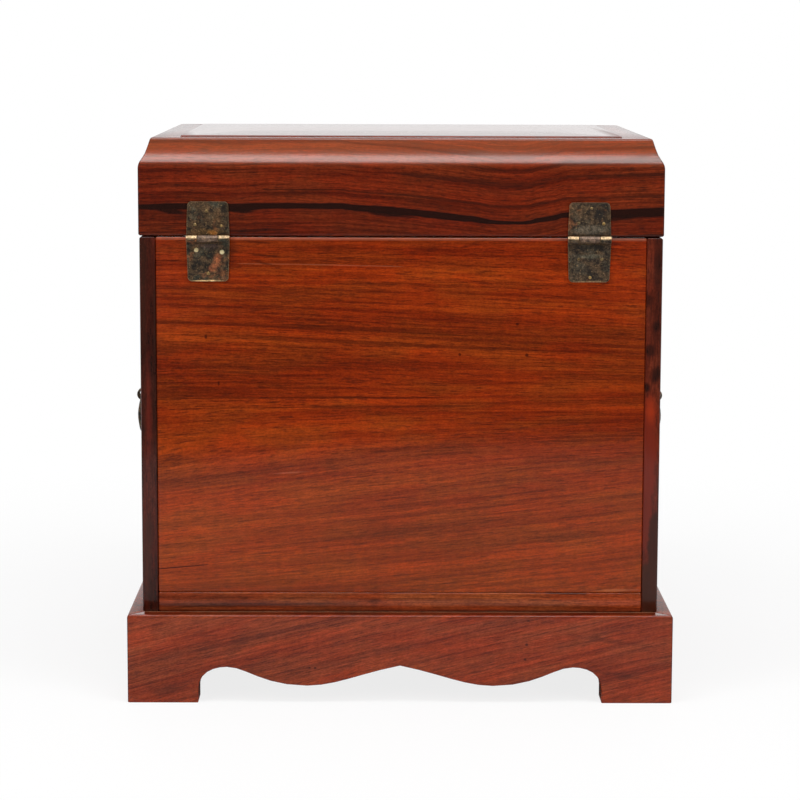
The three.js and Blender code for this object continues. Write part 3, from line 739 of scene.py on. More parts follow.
@dataclass(frozen=True)
class OldBrass:
    """The finish of brass under a mottled brown and green patina, rubbed bright on its edges."""

    patina: Colour = tint(92, 70, 48)
    tarnish: Colour = tint(40, 35, 28)
    bloom: Colour = tint(86, 84, 68)
    bright: Colour = tint(196, 160, 108)
    copper: Colour = tint(150, 92, 54)
    rubbed: float = 0.5
    mottled: float = 1.0
    roughness: float = 0.38
    edge: float = 0.8

    def material(self, name: str, offset: float, marks: Sequence[Knot] = ()) -> bpy.types.Material:
        """Makes the metal's material.

        Args:
            name: The material's name.
            offset: A shift that gives the piece stains of its own.
            marks: Stains and rubbed places, laid as on a board that runs across the chest.

        Returns:
            The material.
        """
        material, tree, shader = new_material(name)
        here = turned_place(tree, Run.ACROSS_UPRIGHT)
        place = tree.vector("ADD", here, (offset, offset * 1.7, offset * 0.6))
        stain = tree.ease(tree.noise(place, 210.0, 4.0, 0.65), 0.4, 0.62)
        colour = tree.mix(stain, self.patina, self.tarnish)
        grey = tree.ease(tree.noise(place, (130.0, 190.0, 130.0), 3.0, 0.6), 0.52, 0.66)
        colour = tree.mix(tree.times(grey, 0.55 * self.mottled), colour, self.bloom)
        threshold = 0.72 - 0.26 * self.rubbed
        wide = tree.noise(place, 95.0, 3.0, 0.65)
        patch = tree.ease(wide, threshold - 0.05, threshold + 0.08, 0.0, 0.6)
        colour = tree.mix(patch, colour, self.copper)
        colour = with_knots(tree, here, marks, colour, self.tarnish)
        coarse = tree.ease(tree.noise(place, 520.0, 2.0, 0.65), 0.34, 0.66)
        grit = tree.ease(tree.noise(place, 1250.0, 2.0, 0.65), 0.34, 0.66)
        low, high = 1.0 - 0.42 * self.mottled, 1.0 + 0.42 * self.mottled
        fine = tree.times(tree.between(coarse, low, high), tree.between(grit, low, high))
        colour = tree.shaded(colour, fine)
        specks = tree.noise(place, 1050.0, 1.0)
        specks = tree.ease(specks, 0.66, 0.74, 0.0, 0.55 * self.mottled)
        edge = tree.group(EDGE_MASK, Place=place, Radius=0.0006, Broken=0.45).outputs[0]
        edge = tree.times(edge, self.edge)
        bare = tree.math("MAXIMUM", edge, specks)
        colour = tree.mix(bare, colour, self.bright)
        tree.put(shader.inputs["Base Color"], colour)
        tree.put(shader.inputs["Metallic"], tree.math("MULTIPLY_ADD", bare, 0.35, 0.35, clamp=True))
        rough = tree.math("MULTIPLY_ADD", stain, 0.14, self.roughness)
        tree.put(shader.inputs["Roughness"], tree.math("MULTIPLY_ADD", bare, -0.12, rough))
        height = tree.minus(grit, tree.times(stain, 0.5))
        tree.put(shader.inputs["Normal"], tree.bump(height, 0.35, 0.12 * MM))
        return material


def own_shift(name: str) -> float:
    """A number from a piece's name that shifts its figure or stains, so that no two pieces repeat."""
    return sum((i + 3) * ord(letter) for i, letter in enumerate(name)) % 97 / 7.0


def add_piece(
    name: str,
    shape: bmesh.types.BMesh,
    body: str,
    material: bpy.types.Material,
) -> bpy.types.Object:
    """Turns a finished bmesh into a piece that rides on a body.

    Args:
        name: The piece's name.
        shape: The bmesh, which is freed.
        body: The body that carries the piece.
        material: Its material.

    Returns:
        The new object.
    """
    mesh = bpy.data.meshes.new(name)
    shape.to_mesh(mesh)
    shape.free()
    mesh.shade_smooth()
    mesh.set_sharp_from_angle(angle=math.radians(SMOOTH_ANGLE))
    mesh.materials.append(material)
    piece = bpy.data.objects.new(name, mesh)
    bpy.context.scene.collection.objects.link(piece)
    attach(piece, body)
    log.info("%s: %d faces", name, len(mesh.polygons))
    return piece


def body_of(node: str) -> str:
    """The name of the body that a frame node rides on."""
    return frame["nodes"][node]["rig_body"]


def plain_copy(node: str) -> bmesh.types.BMesh:
    """Copies a frame node's form with its loose triangles joined into whole faces.

    Args:
        node: The frame node's name.

    Returns:
        The form.
    """
    shape = bmesh.new()
    shape.from_mesh(frame["nodes"][node].data)
    bmesh.ops.remove_doubles(shape, verts=shape.verts, dist=WELD)
    flat = math.radians(FLAT_ANGLE)
    bmesh.ops.dissolve_limit(shape, angle_limit=flat, verts=shape.verts, edges=shape.edges)
    return shape


def sharp_edges(shape: bmesh.types.BMesh, least: float = 30.0) -> list[bmesh.types.BMEdge]:
    """The edges whose two faces meet at more than an angle in degrees."""
    return [e for e in shape.edges if e.is_manifold and e.calc_face_angle(0.0) > math.radians(least)]


def round_off(
    shape: bmesh.types.BMesh,
    edges: Sequence[bmesh.types.BMEdge],
    width: float,
    segments: int = 2,
) -> bmesh.types.BMesh:
    """Rounds some edges of a form.

    Args:
        shape: The form.
        edges: The edges to round.
        width: The width of the rounding on each face, in millimetres.
        segments: The facets across the rounding.

    Returns:
        The same form.
    """
    bmesh.ops.bevel(
        shape,
        geom=edges,
        offset=width * MM,
        offset_type="OFFSET",
        affect="EDGES",
        segments=segments,
        profile=0.5,
        material=-1,
        clamp_overlap=True,
    )
    return shape


def rounded_copy(node: str, arris: float) -> bmesh.types.BMesh:
    """Copies a frame node's form with its sharp edges rounded by a width in millimetres."""
    shape = plain_copy(node)
    return round_off(shape, sharp_edges(shape), arris)


def dress_wood(
    node: str,
    finish: Rosewood,
    run: Run,
    arris: float = 0.35,
    shape: bmesh.types.BMesh | None = None,
) -> bpy.types.Object:
    """Replaces a wooden frame node by its rounded form, or a given one, in its own figure of rosewood.

    Args:
        node: The frame node's name.
        finish: The kind of board.
        run: How the board lies.
        arris: The width of its rounded edges, in millimetres.
        shape: A form to use in place of the rounded copy.

    Returns:
        The new object.
    """
    name = node + "_board"
    material = finish.material(name, run, own_shift(node) + finish.seed)
    piece = add_piece(name, shape or rounded_copy(node, arris), body_of(node), material)
    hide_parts(node)
    return piece


def dress_brass(
    node: str,
    finish: OldBrass,
    arris: float = 0.2,
    marks: Sequence[Knot] = (),
) -> bpy.types.Object:
    """Replaces a brass frame node by its rounded form under its own patina.

    Args:
        node: The frame node's name.
        finish: The kind of brass.
        arris: The width of its rounded edges, in millimetres.
        marks: Stains and rubbed places, in the chest's millimetres.

    Returns:
        The new object.
    """
    name = node + "_cast"
    material = finish.material(name, own_shift(node), marks)
    piece = add_piece(name, rounded_copy(node, arris), body_of(node), material)
    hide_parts(node)
    return piece


def domed_nail(middle: Vector, out: Vector, radius: float, height: float) -> bmesh.types.BMesh:
    """One nail head: a low dome that stands on a plate.

    Args:
        middle: Where the head's middle touches the plate, in metres.
        out: The way the head faces.
        radius: The head's radius, in millimetres.
        height: The dome's height, in millimetres.

    Returns:
        The head as a bmesh.
    """
    shape = bmesh.new()
    bmesh.ops.create_uvsphere(shape, u_segments=16, v_segments=8, radius=radius * MM)
    lower = [v for v in shape.verts if v.co.z < -WELD]
    bmesh.ops.delete(shape, geom=lower, context="VERTS")
    bmesh.ops.holes_fill(shape, edges=[e for e in shape.edges if e.is_boundary], sides=0)
    bmesh.ops.scale(shape, vec=(1, 1, height / radius), verts=shape.verts)
    turn = Vector((0, 0, 1)).rotation_difference(out).to_matrix()
    bmesh.ops.rotate(shape, matrix=turn, verts=shape.verts)
    bmesh.ops.translate(shape, vec=middle, verts=shape.verts)
    return shape


def gathered(shapes: Iterable[bmesh.types.BMesh]) -> bmesh.types.BMesh:
    """Puts several bmeshes into one and frees them.

    Args:
        shapes: The bmeshes.

    Returns:
        The whole.
    """
    whole = bmesh.new()
    for shape in shapes:
        mesh = bpy.data.meshes.new("part")
        shape.to_mesh(mesh)
        shape.free()
        whole.from_mesh(mesh)
        bpy.data.meshes.remove(mesh)
    return whole


SCRATCH = tint(196, 122, 84)
ORANGE_BOARD = Rosewood(
    light=tint(149, 54, 10),
    body=tint(128, 42, 7),
    dark=tint(84, 23, 6),
    vein=tint(50, 16, 6),
    veins=0.1,
    pores=0.8,
    bands=0.6,
    blotches=0.3,
    waver=0.005,
    edge=0.25,
    tilt=((60, 0.05), (85, 0.1), (130, 0.12), (165, 0.05), (200, 0.0), (240, -0.04), (290, 0.0)),
    washes=(
        # Painted reflection of the floor: a pale haze added low on the back board, fading out upwards by 190
        # mm.
        Wash(60, 190, (0.05, 0.012, 0.001)),
        # Painted highlight: a light line along the board's top arris.
        Wash(289.3, 288.4, (0.12, 0.06, 0.03)),
        Wash(273.0, 270.0, (0.76, 0.66, 0.75), Layer.STAIN_AND_SHADE),
    ),
    streaks=(
        Streak(
            231.4,
            ((-151, 1.2), (-100, 1.0), (-40, 1.4), (20, 0.9), (70, 0.0), (151, 0.0)),
            0.5, 0.8, 1.2,
        ),
        Streak(
            223.9,
            ((-151, 0.0), (-130, 0.5), (-70, 1.3), (0, 1.0), (60, 0.7), (151, 0.0)),
            0.45, 0.8, 1.2,
        ),
        Streak(
            191.1,
            ((-151, 0.3), (-80, 0.4), (-40, 0.7), (10, 0.6), (40, 0.0), (151, 0.0)),
            0.6, 0.7, 1.6,
        ),
        Streak(
            185.6,
            ((-151, 0.0), (-60, 0.4), (-20, 1.0), (30, 0.8), (60, 0.0), (151, 0.0)),
            0.55, 0.7, 1.6,
        ),
        Streak(97.0, ((-151, 0.5), (-125, 0.45), (-112, 0.0), (151, 0.0)), 0.85, 0.5, 1.0),
        Streak(273.5, ((-151, 0.5), (-138, 0.4), (-130, 0.0), (151, 0.0)), 0.7, 0.5, 0.8),
        Streak(
            271.5,
            ((-151, 0.0), (-106, 0.0), (-95, 0.35), (-5, 0.3), (10, 0.0), (151, 0.0)),
            0.16, 0.6, 2.5, SCRATCH,
        ),
    ),
    knots=(
        Knot((-120.4, 228.9), (1.3, 1.7)),
        Knot((-112.7, 199.9), (1.1, 2.0)),
        Knot((71.7, 237.3), (1.5, 1.1)),
        Knot((36.4, 218.2), (1.2, 1.4)),
        Knot((77.8, 218.2), (1.3, 1.3)),
        Knot((94.0, 153.7), (34.0, 4.5), 0.05, 0.32, 1.0),
        Knot((-81.8, 279.2), (17.0, 1.3), -0.08, 0.8, 0.7),
        Knot((-85.5, 274.8), (9.0, 1.1), -0.25, 0.6, 0.8),
        Knot((-104.0, 281.5), (5.0, 10.0), 0.0, 0.55, 0.9),
        Knot((-86.8, 287.4), (12.0, 1.2), -0.08, 0.6, 0.8),
        Knot((-45.9, 284.2), (8.0, 3.5), 0.0, 0.4, 0.9),
        Knot((18.4, 284.2), (17.0, 3.5), 0.0, 0.35, 0.9),
        Knot((43.2, 286.6), (12.0, 1.6), 0.3, 0.45, 0.9),
        Knot((52.5, 270.0), (5.5, 0.9), 0.0, 0.55, 0.8),
        Knot((80.3, 265.3), (14.0, 1.2), -0.12, 0.5, 0.8),
        Knot((96.4, 271.6), (6.0, 4.0), 0.0, 0.4, 0.9),
        Knot((-9.4, 262.2), (15.0, 1.4), 0.0, 0.45, 0.9),
        Knot((-15.6, 257.2), (15.0, 1.8), 0.0, 0.4, 0.9),
        Knot((-70.0, 144.0), (15.0, 0.8), 0.06, 0.25, 0.9, SCRATCH),
        Knot((134.0, 69.8), (22.0, 1.3), 0.03, 0.45, 0.9, tint(196, 116, 66)),
    ),
)
RED_LID = Rosewood(
    light=tint(118, 41, 15),
    body=tint(97, 28, 9),
    dark=tint(62, 17, 7),
    vein=tint(34, 15, 9),
    edge=0.35,
    bands=0.8,
    veins=0.3,
    waver=0.002,
)
POLISHED_PANEL = replace(RED_LID, coat=0.3, roughness=0.12)
LID_COURSE = (
    (-162, 308.9), (-133, 309.5), (-107, 308.9), (-81, 309.8), (-44, 309.9), (-27, 308.6), (-4, 307.1),
    (16, 305.1), (44, 302.1), (72, 299.9), (83, 301.4), (95, 303.3), (102, 304.8), (129, 305.6),
    (162, 306.7),
)
MAIN_STREAK = (
    (-162, 1.5), (-133, 2.0), (-107, 2.3), (-81, 1.9), (-44, 1.8), (-27, 2.1), (-4, 2.2), (16, 2.2),
    (44, 2.0), (72, 1.0), (83, 1.5), (102, 1.8), (129, 2.5), (162, 3.0),
)
STREAKED_LID = Rosewood(
    light=tint(118, 40, 14),
    body=tint(97, 28, 9),
    dark=tint(61, 17, 7),
    vein=tint(33, 14, 9),
    bands=0.8,
    pores=0.9,
    veins=0.15,
    waver=0.0012,
    roughness=0.17,
    edge=0.2,
    course=LID_COURSE,
    washes=(
        # Painted sheen: a warm light added over the upturned cove, from 332 mm up.
        Wash(340, 332, (0.12, 0.034, 0.012)),
        # Painted shade: a darker tint along the top edge of the cove.
        Wash(350.4, 349.2, (0.7, 0.65, 0.7), Layer.STAIN_AND_SHADE),
    ),
    streaks=(
        Streak(0.0, MAIN_STREAK, 0.97, 0.22, 0.9),
        Streak(
            10.0,
            ((-162, 0.0), (-95, 0.0), (-80, 0.4), (-10, 0.6), (60, 0.8), (110, 0.7), (162, 0.8)),
            0.6, 0.6, 1.2,
        ),
        Streak(
            23.2,
            ((-162, 0.0), (-30, 0.0), (10, 1.2), (50, 1.9), (75, 1.8), (110, 1.1), (162, 1.4)),
            0.55, 0.7, 1.2,
        ),
        Streak(32.0, ((-162, 0.0), (20, 0.0), (60, 1.0), (110, 1.8), (162, 2.2)), 0.4, 0.8, 1.2),
        Streak(39.5, ((-162, 1.0), (-100, 1.4), (-20, 0.6), (60, 1.1), (162, 0.7)), 0.3, 0.9, 1.6),
        Streak(
            -14.6,
            ((-162, 0.0), (-110, 0.6), (-90, 1.0), (-60, 0.0), (40, 0.0), (80, 1.0), (162, 1.4)),
            0.75, 0.6, 1.2,
        ),
    ),
    knots=(
        Knot((-141.0, 306.2), (13.0, 2.4), -0.08, 0.9, 0.5),
        Knot((-99.0, 306.9), (12.0, 2.0), -0.06, 0.9, 0.5),
        Knot((-8.0, 304.9), (20.0, 2.0), -0.1, 0.9, 0.5),
        Knot((130.0, 302.6), (22.0, 2.2), 0.05, 0.85, 0.6),
    ),
)


def edge_mark(
    up: float,
    across: float,
    tall: float,
    wide: float,
    depth: float,
    softness: float,
    tone: Colour | None = None,
) -> Knot:
    """A mark on a side board's rear edge, placed in the chest in millimetres."""
    return Knot((up, REAR_FACE, across), (tall, EDGE_REACH, wide), 0.0, depth, softness, tone)


DARK_SIDE = Rosewood(
    light=tint(98, 34, 22),
    body=tint(76, 28, 18),
    dark=tint(48, 22, 15),
    vein=tint(26, 15, 12),
    bands=0.9,
    veins=0.6,
    edge=0.4,
    knots=(
        edge_mark(255.0, 158.5, 60.0, 2.6, 0.6, 0.8, tint(48, 26, 18)),
        edge_mark(245.0, 151.5, 50.0, 1.8, 0.6, 0.8, tint(48, 26, 18)),
        edge_mark(180.0, 156.0, 46.0, 3.0, 0.5, 0.9, tint(104, 34, 24)),
        edge_mark(95.0, 158.0, 36.0, 5.0, 0.6, 0.8, tint(62, 34, 24)),
    ),
)
RED_SIDE = Rosewood(
    light=tint(108, 40, 22),
    body=tint(88, 32, 18),
    dark=tint(54, 22, 15),
    vein=tint(28, 15, 12),
    bands=0.9,
    veins=0.5,
    edge=0.35,
    knots=(
        edge_mark(276.0, -158.0, 9.0, 3.5, 0.6, 0.8),
        edge_mark(252.0, -153.0, 6.0, 4.0, 0.6, 0.8),
        edge_mark(236.0, -158.0, 5.0, 4.5, 0.7, 0.7),
        edge_mark(221.0, -154.0, 5.0, 5.0, 0.75, 0.6),
        edge_mark(206.0, -158.0, 7.0, 5.0, 0.8, 0.6),
        edge_mark(198.0, -152.0, 4.0, 3.0, 0.8, 0.6),
        edge_mark(160.0, -154.0, 37.0, 6.5, 0.85, 0.5, tint(112, 35, 19)),
        edge_mark(122.0, -152.5, 36.0, 5.5, 0.85, 0.5, tint(106, 34, 20)),
        edge_mark(183.0, -155.0, 12.0, 5.2, 0.85, 0.9, tint(148, 47, 18)),
        edge_mark(128.0, -162.5, 22.0, 3.2, 0.9, 0.3, tint(54, 24, 16)),
        edge_mark(98.0, -160.5, 26.0, 6.6, 0.9, 0.3, tint(54, 26, 17)),
        edge_mark(72.0, -157.0, 20.0, 10.0, 0.9, 0.3, tint(60, 30, 19)),
    ),
)
STRIP = Rosewood(
    light=tint(158, 72, 32),
    body=tint(130, 56, 27),
    dark=tint(88, 36, 20),
    vein=tint(50, 22, 14),
    blotches=0.7,
    edge=0.3,
    # Painted shade: a darker tint along the strip's foot, in the joint with the plinth.
    washes=(Wash(56.3, 58.0, (0.5, 0.42, 0.4), Layer.STAIN_AND_SHADE),),
    knots=(
        Knot((-97.0, 64.5), (5.0, 1.6), 0.1, 0.6),
        Knot((-16.2, 62.5), (5.0, 2.2), 0.1, 0.5),
        Knot((106.0, 67.6), (17.0, 0.7), 0.0, 0.8),
    ),
)
WARM_PLINTH = Rosewood(
    light=tint(152, 62, 30),
    body=tint(130, 50, 25),
    dark=tint(94, 34, 20),
    vein=tint(50, 24, 18),
    bands=0.6,
    veins=0.15,
    blotches=0.7,
    tilt=((0, 0.25), (56, 0.22)),
    knots=(
        Knot((0.0, 56.0, 206.4), (340.0, 3.0, 1.5), 0.0, 0.55, 0.6, tint(196, 140, 104)),
        Knot((-53.0, 22.3), (1.4, 1.0)),
        Knot((-56.5, 22.3), (1.2, 1.0)),
        Knot((80.0, 52.6), (1.6, 1.0)),
        Knot((79.0, 37.4), (1.4, 1.1)),
        Knot((78.0, 28.1), (1.2, 1.2)),
        Knot((-99.0, 41.0), (11.0, 6.0), 0.5, 0.35, 0.9),
        Knot((-152.0, 49.0), (8.0, 3.0), 0.3, 0.5, 0.9),
        Knot((-144.0, 8.0), (16.0, 5.0), 0.2, 0.4, 0.9),
        Knot((55.0, 32.0), (8.0, 2.0), -0.2, 0.3, 0.9),
        Knot((130.0, 40.0), (34.0, 2.2), -0.14, 0.45, 0.9),
        Knot((132.0, 19.0), (36.0, 2.2), -0.17, 0.4, 0.9),
    ),
)
DRAWER_WOOD = Rosewood(
    light=tint(198, 150, 98),
    body=tint(180, 130, 82),
    dark=tint(146, 98, 60),
    vein=tint(104, 68, 42),
    roughness=0.55,
    veins=0.15,
    blotches=0.3,
)
HINGE_BRASS = OldBrass()
OLIVE_BRASS = OldBrass(
    patina=tint(92, 72, 52),
    tarnish=tint(46, 38, 31),
    bloom=tint(92, 84, 68),
    rubbed=0.35,
)
BRIGHT_NAIL = OldBrass(
    tint(240, 222, 170),
    tint(208, 182, 128),
    tint(226, 206, 160),
    tint(250, 238, 200),
    rubbed=0.0,
    mottled=0.25,
    roughness=0.3,
)
DULL_NAIL = OldBrass(
    tint(160, 128, 76),
    tint(96, 78, 48),
    tint(140, 124, 84),
    tint(206, 176, 116),
    rubbed=0.0,
    mottled=0.6,
)
INK = tint(20, 17, 15)
CREAM = tint(206, 174, 132)
OCHRE = tint(132, 96, 52)
DUN = tint(124, 100, 84)


@dataclass(frozen=True)
class Nail:
    """A nail in a hinge leaf, placed from the middle of the hinge's barrel in millimetres."""

    across: float
    up: float
    radius: float = 1.0
    bright: bool = False


def stain(
    across: float,
    up: float,
    wide: float,
    tall: float,
    depth: float,
    softness: float,
    tone: Colour,
    lean: float = 0.0,
) -> Knot:
    """A mark on a hinge leaf's face, placed from the middle of its barrel in millimetres."""
    return Knot((across, up, LEAF_FACE), (wide, tall), lean, depth, softness, tone)


@dataclass(frozen=True)
class Leaf:
    """One leaf of a rear hinge: its metal, its nails, and its marks across and up from the barrel."""

    metal: OldBrass
    nails: tuple[Nail, ...]
    marks: tuple[Knot, ...] = ()

    def marks_at(self, middle: float, barrel: float) -> list[Knot]:
        """The marks where the leaf stands, given its middle and its barrel's height in millimetres."""
        placed = ((mark, *mark.middle) for mark in self.marks)
        return [replace(mark, middle=(x + middle, z + barrel, y)) for mark, x, z, y in placed]


KNUCKLE_ENDS = tuple(Knot((x, 0.0, 208.8), (0.5, 4.0, 3.0), 0.0, 0.9, 0.4, INK) for x in (-6.45, 6.45))
# The outer knuckles' top half is cream: partly rubbed brass and partly a painted highlight from the light
# above.
OUTER_KNUCKLES = (Knot((0.0, 1.7, 209.2), (20.0, 2.2, 2.4), 0.0, 0.9, 0.3, CREAM), *KNUCKLE_ENDS)
CENTRE_KNUCKLE = (Knot((0.0, 0.6, 209.2), (12.0, 3.0, 2.4), 0.0, 0.7, 0.3, DUN), *KNUCKLE_ENDS)
LEAVES = {
    "lid_right": Leaf(
        HINGE_BRASS,
        (Nail(0.7, 17.0), Nail(7.9, 8.6), Nail(-8.3, 7.9, 0.9)),
        (
            stain(0.0, 4.6, 13.0, 2.4, 0.55, 0.8, OCHRE),
            stain(2.8, 3.9, 3.6, 1.7, 0.75, 0.8, tint(176, 112, 44)),
            stain(7.0, 12.5, 5.0, 7.0, 0.45, 0.9, tint(120, 84, 50)),
            stain(10.0, 19.0, 3.6, 5.0, 0.7, 0.8, tint(34, 35, 32)),
            stain(-3.0, 10.5, 5.5, 3.4, 0.5, 0.8, tint(40, 33, 27)),
            *CENTRE_KNUCKLE,
        ),
    ),
    "case_right": Leaf(
        HINGE_BRASS,
        (Nail(7.2, -6.9, 1.4, True), Nail(-8.6, -8.2, 1.45, True), Nail(-0.1, -21.3, 1.05)),
        (
            stain(0.0, -4.4, 14.0, 2.6, 0.45, 0.9, tint(104, 78, 72)),
            stain(-7.5, -5.6, 4.0, 2.8, 0.5, 0.9, OCHRE),
            stain(5.4, -13.0, 4.0, 5.6, 0.75, 1.0, tint(180, 100, 60), 0.5),
            stain(2.8, -18.0, 4.2, 3.8, 0.7, 1.0, tint(166, 92, 56), 0.6),
            stain(-6.0, -15.0, 5.5, 5.0, 0.4, 0.9, tint(44, 38, 32)),
            stain(0.0, -25.9, 12.4, 0.8, 0.95, 0.5, tint(240, 196, 136)),
            *OUTER_KNUCKLES,
        ),
    ),
    "lid_left": Leaf(
        OLIVE_BRASS,
        (Nail(-1.1, 19.3, 0.8), Nail(6.7, 10.1, 0.9), Nail(-8.6, 9.8, 1.0)),
        (
            stain(0.0, 6.4, 15.0, 4.4, 0.65, 0.7, tint(112, 102, 86)),
            stain(5.2, 14.8, 5.0, 4.6, 0.75, 0.8, tint(28, 30, 31)),
            stain(-12.6, 19.5, 2.6, 4.5, 0.6, 0.9, tint(136, 92, 58)),
            stain(-5.0, 13.0, 5.0, 4.0, 0.5, 0.9, tint(96, 76, 56)),
            *CENTRE_KNUCKLE,
        ),
    ),
    "case_left": Leaf(
        OLIVE_BRASS,
        (Nail(6.4, -12.0, 0.9), Nail(-7.8, -12.0, 0.9), Nail(-0.6, -23.3, 1.0)),
        (
            stain(0.0, -5.0, 14.0, 3.0, 0.6, 0.8, tint(38, 34, 29)),
            stain(0.0, -10.3, 15.0, 1.9, 0.7, 0.8, tint(112, 108, 90)),
            stain(-5.9, -12.3, 2.6, 2.2, 0.7, 0.9, tint(108, 78, 52)),
            stain(8.5, -12.0, 3.0, 3.0, 0.6, 0.9, tint(92, 70, 50)),
            stain(-10.0, -19.0, 3.0, 5.0, 0.6, 0.9, tint(32, 33, 31)),
            stain(0.0, -25.9, 12.2, 0.6, 0.6, 0.6, tint(168, 132, 90)),
            *OUTER_KNUCKLES,
        ),
    ),
}


@dataclass
class Carcase:
    """The case: its sides, back, shelves, tray floor, front rail and the glue strip under its floor."""

    arris: float = 0.35
    strip_section: tuple[float, float] = (8.0, 6.0)
    strip_lap: float = 0.05

    def build(self) -> None:
        """Dresses every board of the case."""
        dress_wood("back_board", ORANGE_BOARD, Run.ACROSS_UPRIGHT, self.arris)
        dress_wood("back_strip", STRIP, Run.ACROSS_UPRIGHT, self.arris)
        dress_wood("front_rail", RED_LID, Run.ACROSS_UPRIGHT, self.arris)
        for node in ("bottom_board", "tray_floor", "lower_shelf", "upper_shelf"):
            dress_wood(node, RED_LID, Run.ACROSS_FLAT, self.arris)
        dress_wood("drawer_divider", RED_LID, Run.TALL_UPRIGHT, self.arris)
        for side, finish in (("left", RED_SIDE), ("right", DARK_SIDE)):
            dress_wood("side_board_" + side, finish, Run.TALL_UPRIGHT, self.arris)
        self.glue_strip()

    def glue_strip(self) -> None:
        """Lays a strip under the floor's front edge, which closes the narrow gap behind the plinth."""
        low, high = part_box("bottom_board")
        inner_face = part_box("plinth_front")[1].y
        size = Vector((high.x - low.x - 2 * MM, *(side * MM for side in self.strip_section)))
        lap = self.strip_lap * MM
        middle = Vector((0.0, inner_face + size.y / 2 - lap, low.z - size.z / 2 + lap))
        shape = bmesh.new()
        bmesh.ops.create_cube(shape, size=1.0)
        bmesh.ops.scale(shape, vec=size, verts=shape.verts)
        bmesh.ops.translate(shape, vec=middle, verts=shape.verts)
        material = WARM_PLINTH.material("glue_strip", Run.ACROSS_UPRIGHT, own_shift("glue_strip"))
        add_piece("glue_strip", shape, body_of("bottom_board"), material)


@dataclass
class Plinth:
    """The scalloped plinth, mitred at its corners."""

    arris: float = 0.5

    def build(self) -> None:
        """Dresses the four lengths of the plinth."""
        for end in ("front", "back"):
            dress_wood("plinth_" + end, WARM_PLINTH, Run.ACROSS_UPRIGHT, self.arris)
        for side in SIDES:
            dress_wood("plinth_" + side, WARM_PLINTH, Run.DEEP_UPRIGHT, self.arris)


@dataclass
class Lid:
    """The coved lid: four mitred walls round a raised panel.

    The cove gives how far it has drawn in at each rise above its foot, in millimetres.
    """

    arris: float = 0.45
    facets: int = 3
    cove_height: float = 18.0
    cove_depth: float = 8.1
    cove_margin: float = 1.2
    cove: Points = (
        (0.0, 0.0), (0.6, 0.05), (1.6, 0.25), (2.8, 0.65), (4.0, 1.3), (5.3, 2.2), (6.6, 3.1), (7.8, 3.8),
        (9.1, 4.4), (11.0, 5.1), (14.0, 6.1), (17.2, 7.1),
    )

    def drawn_in(self, rise: float) -> float:
        """How far the cove has drawn in at a rise above its foot, in millimetres.

        Args:
            rise: The height above the cove's foot.

        Returns:
            The distance from the wall's upright face.
        """
        for (low, near), (high, far) in zip(self.cove, self.cove[1:]):
            if rise <= high:
                return near + (far - near) * (rise - low) / (high - low)
        return self.cove[-1][1]

    def wall(self, end: str) -> bmesh.types.BMesh:
        """Copies one wall, with its cove worn to a fuller and softer section.

        Args:
            end: Which side of the lid the wall is on.

        Returns:
            The wall's form, whose mitres still meet its neighbours'.
        """
        shape = plain_copy("lid_" + end)
        low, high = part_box("lid_" + end)
        axis, along = (0, 1) if end in SIDES else (1, 0)
        way = -1 if end in ("front", "left") else 1
        face = (high if way > 0 else low)[axis]
        foot = high.z - self.cove_height * MM
        centre = (low[along] + high[along]) / 2
        for vert in shape.verts:
            rise = (vert.co.z - foot) / MM
            inset = (face - vert.co[axis]) * way / MM
            if rise > 0.0 and inset < self.cove_depth + self.cove_margin:
                move = (min(inset, self.cove_depth) - self.drawn_in(rise)) * MM
                vert.co[axis] += way * move
                vert.co[along] += math.copysign(move, vert.co[along] - centre)
        return round_off(shape, sharp_edges(shape), self.arris, self.facets)

    def build(self) -> None:
        """Dresses the lid's walls and panel."""
        for end in ("back", "front", *SIDES):
            finish = STREAKED_LID if end == "back" else RED_LID
            run = Run.DEEP_UPRIGHT if end in SIDES else Run.ACROSS_UPRIGHT
            dress_wood("lid_" + end, finish, run, shape=self.wall(end))
        dress_wood("lid_panel", POLISHED_PANEL, Run.ACROSS_FLAT, self.arris)


@dataclass
class RearHinges:
    """The pair of leaf hinges on the back, each held by six domed nails."""

    leaves: dict[str, Leaf] = field(default_factory=lambda: LEAVES)
    arris: float = 0.22
    nail_flatness: float = 0.5
    leaf_face: float = 1.0
    barrel_radius: float = 2.2

    def build(self) -> None:
        """Dresses the leaves and drives the nails."""
        for key, leaf in self.leaves.items():
            part, side = key.split("_")
            node = f"rear_hinge_{part}_leaf_{side}"
            low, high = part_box(node)
            middle = (low.x + high.x) / 2
            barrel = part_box("rear_hinge_case_leaf_" + side)[1].z - self.barrel_radius * MM
            dress_brass(node, leaf.metal, self.arris, leaf.marks_at(-middle / MM, barrel / MM))
            for bright, finish in ((True, BRIGHT_NAIL), (False, DULL_NAIL)):
                heads = [self.head(nail, middle, barrel) for nail in leaf.nails if nail.bright == bright]
                if heads:
                    name = node + ("_bright_nails" if bright else "_nails")
                    material = finish.material(name, own_shift(name))
                    add_piece(name, gathered(heads), body_of(node), material)

    def head(self, nail: Nail, middle: float, barrel: float) -> bmesh.types.BMesh:
        """Makes the domed head of one nail.

        Args:
            nail: The nail.
            middle: The middle of its hinge, in metres.
            barrel: The height of the hinge's barrel, in metres.

        Returns:
            The head.
        """
        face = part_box("back_board")[1].y + self.leaf_face * MM
        place = Vector((middle + nail.across * MM, face, barrel + nail.up * MM))
        return domed_nail(place, Vector((0, 1, 0)), nail.radius, nail.radius * self.nail_flatness)


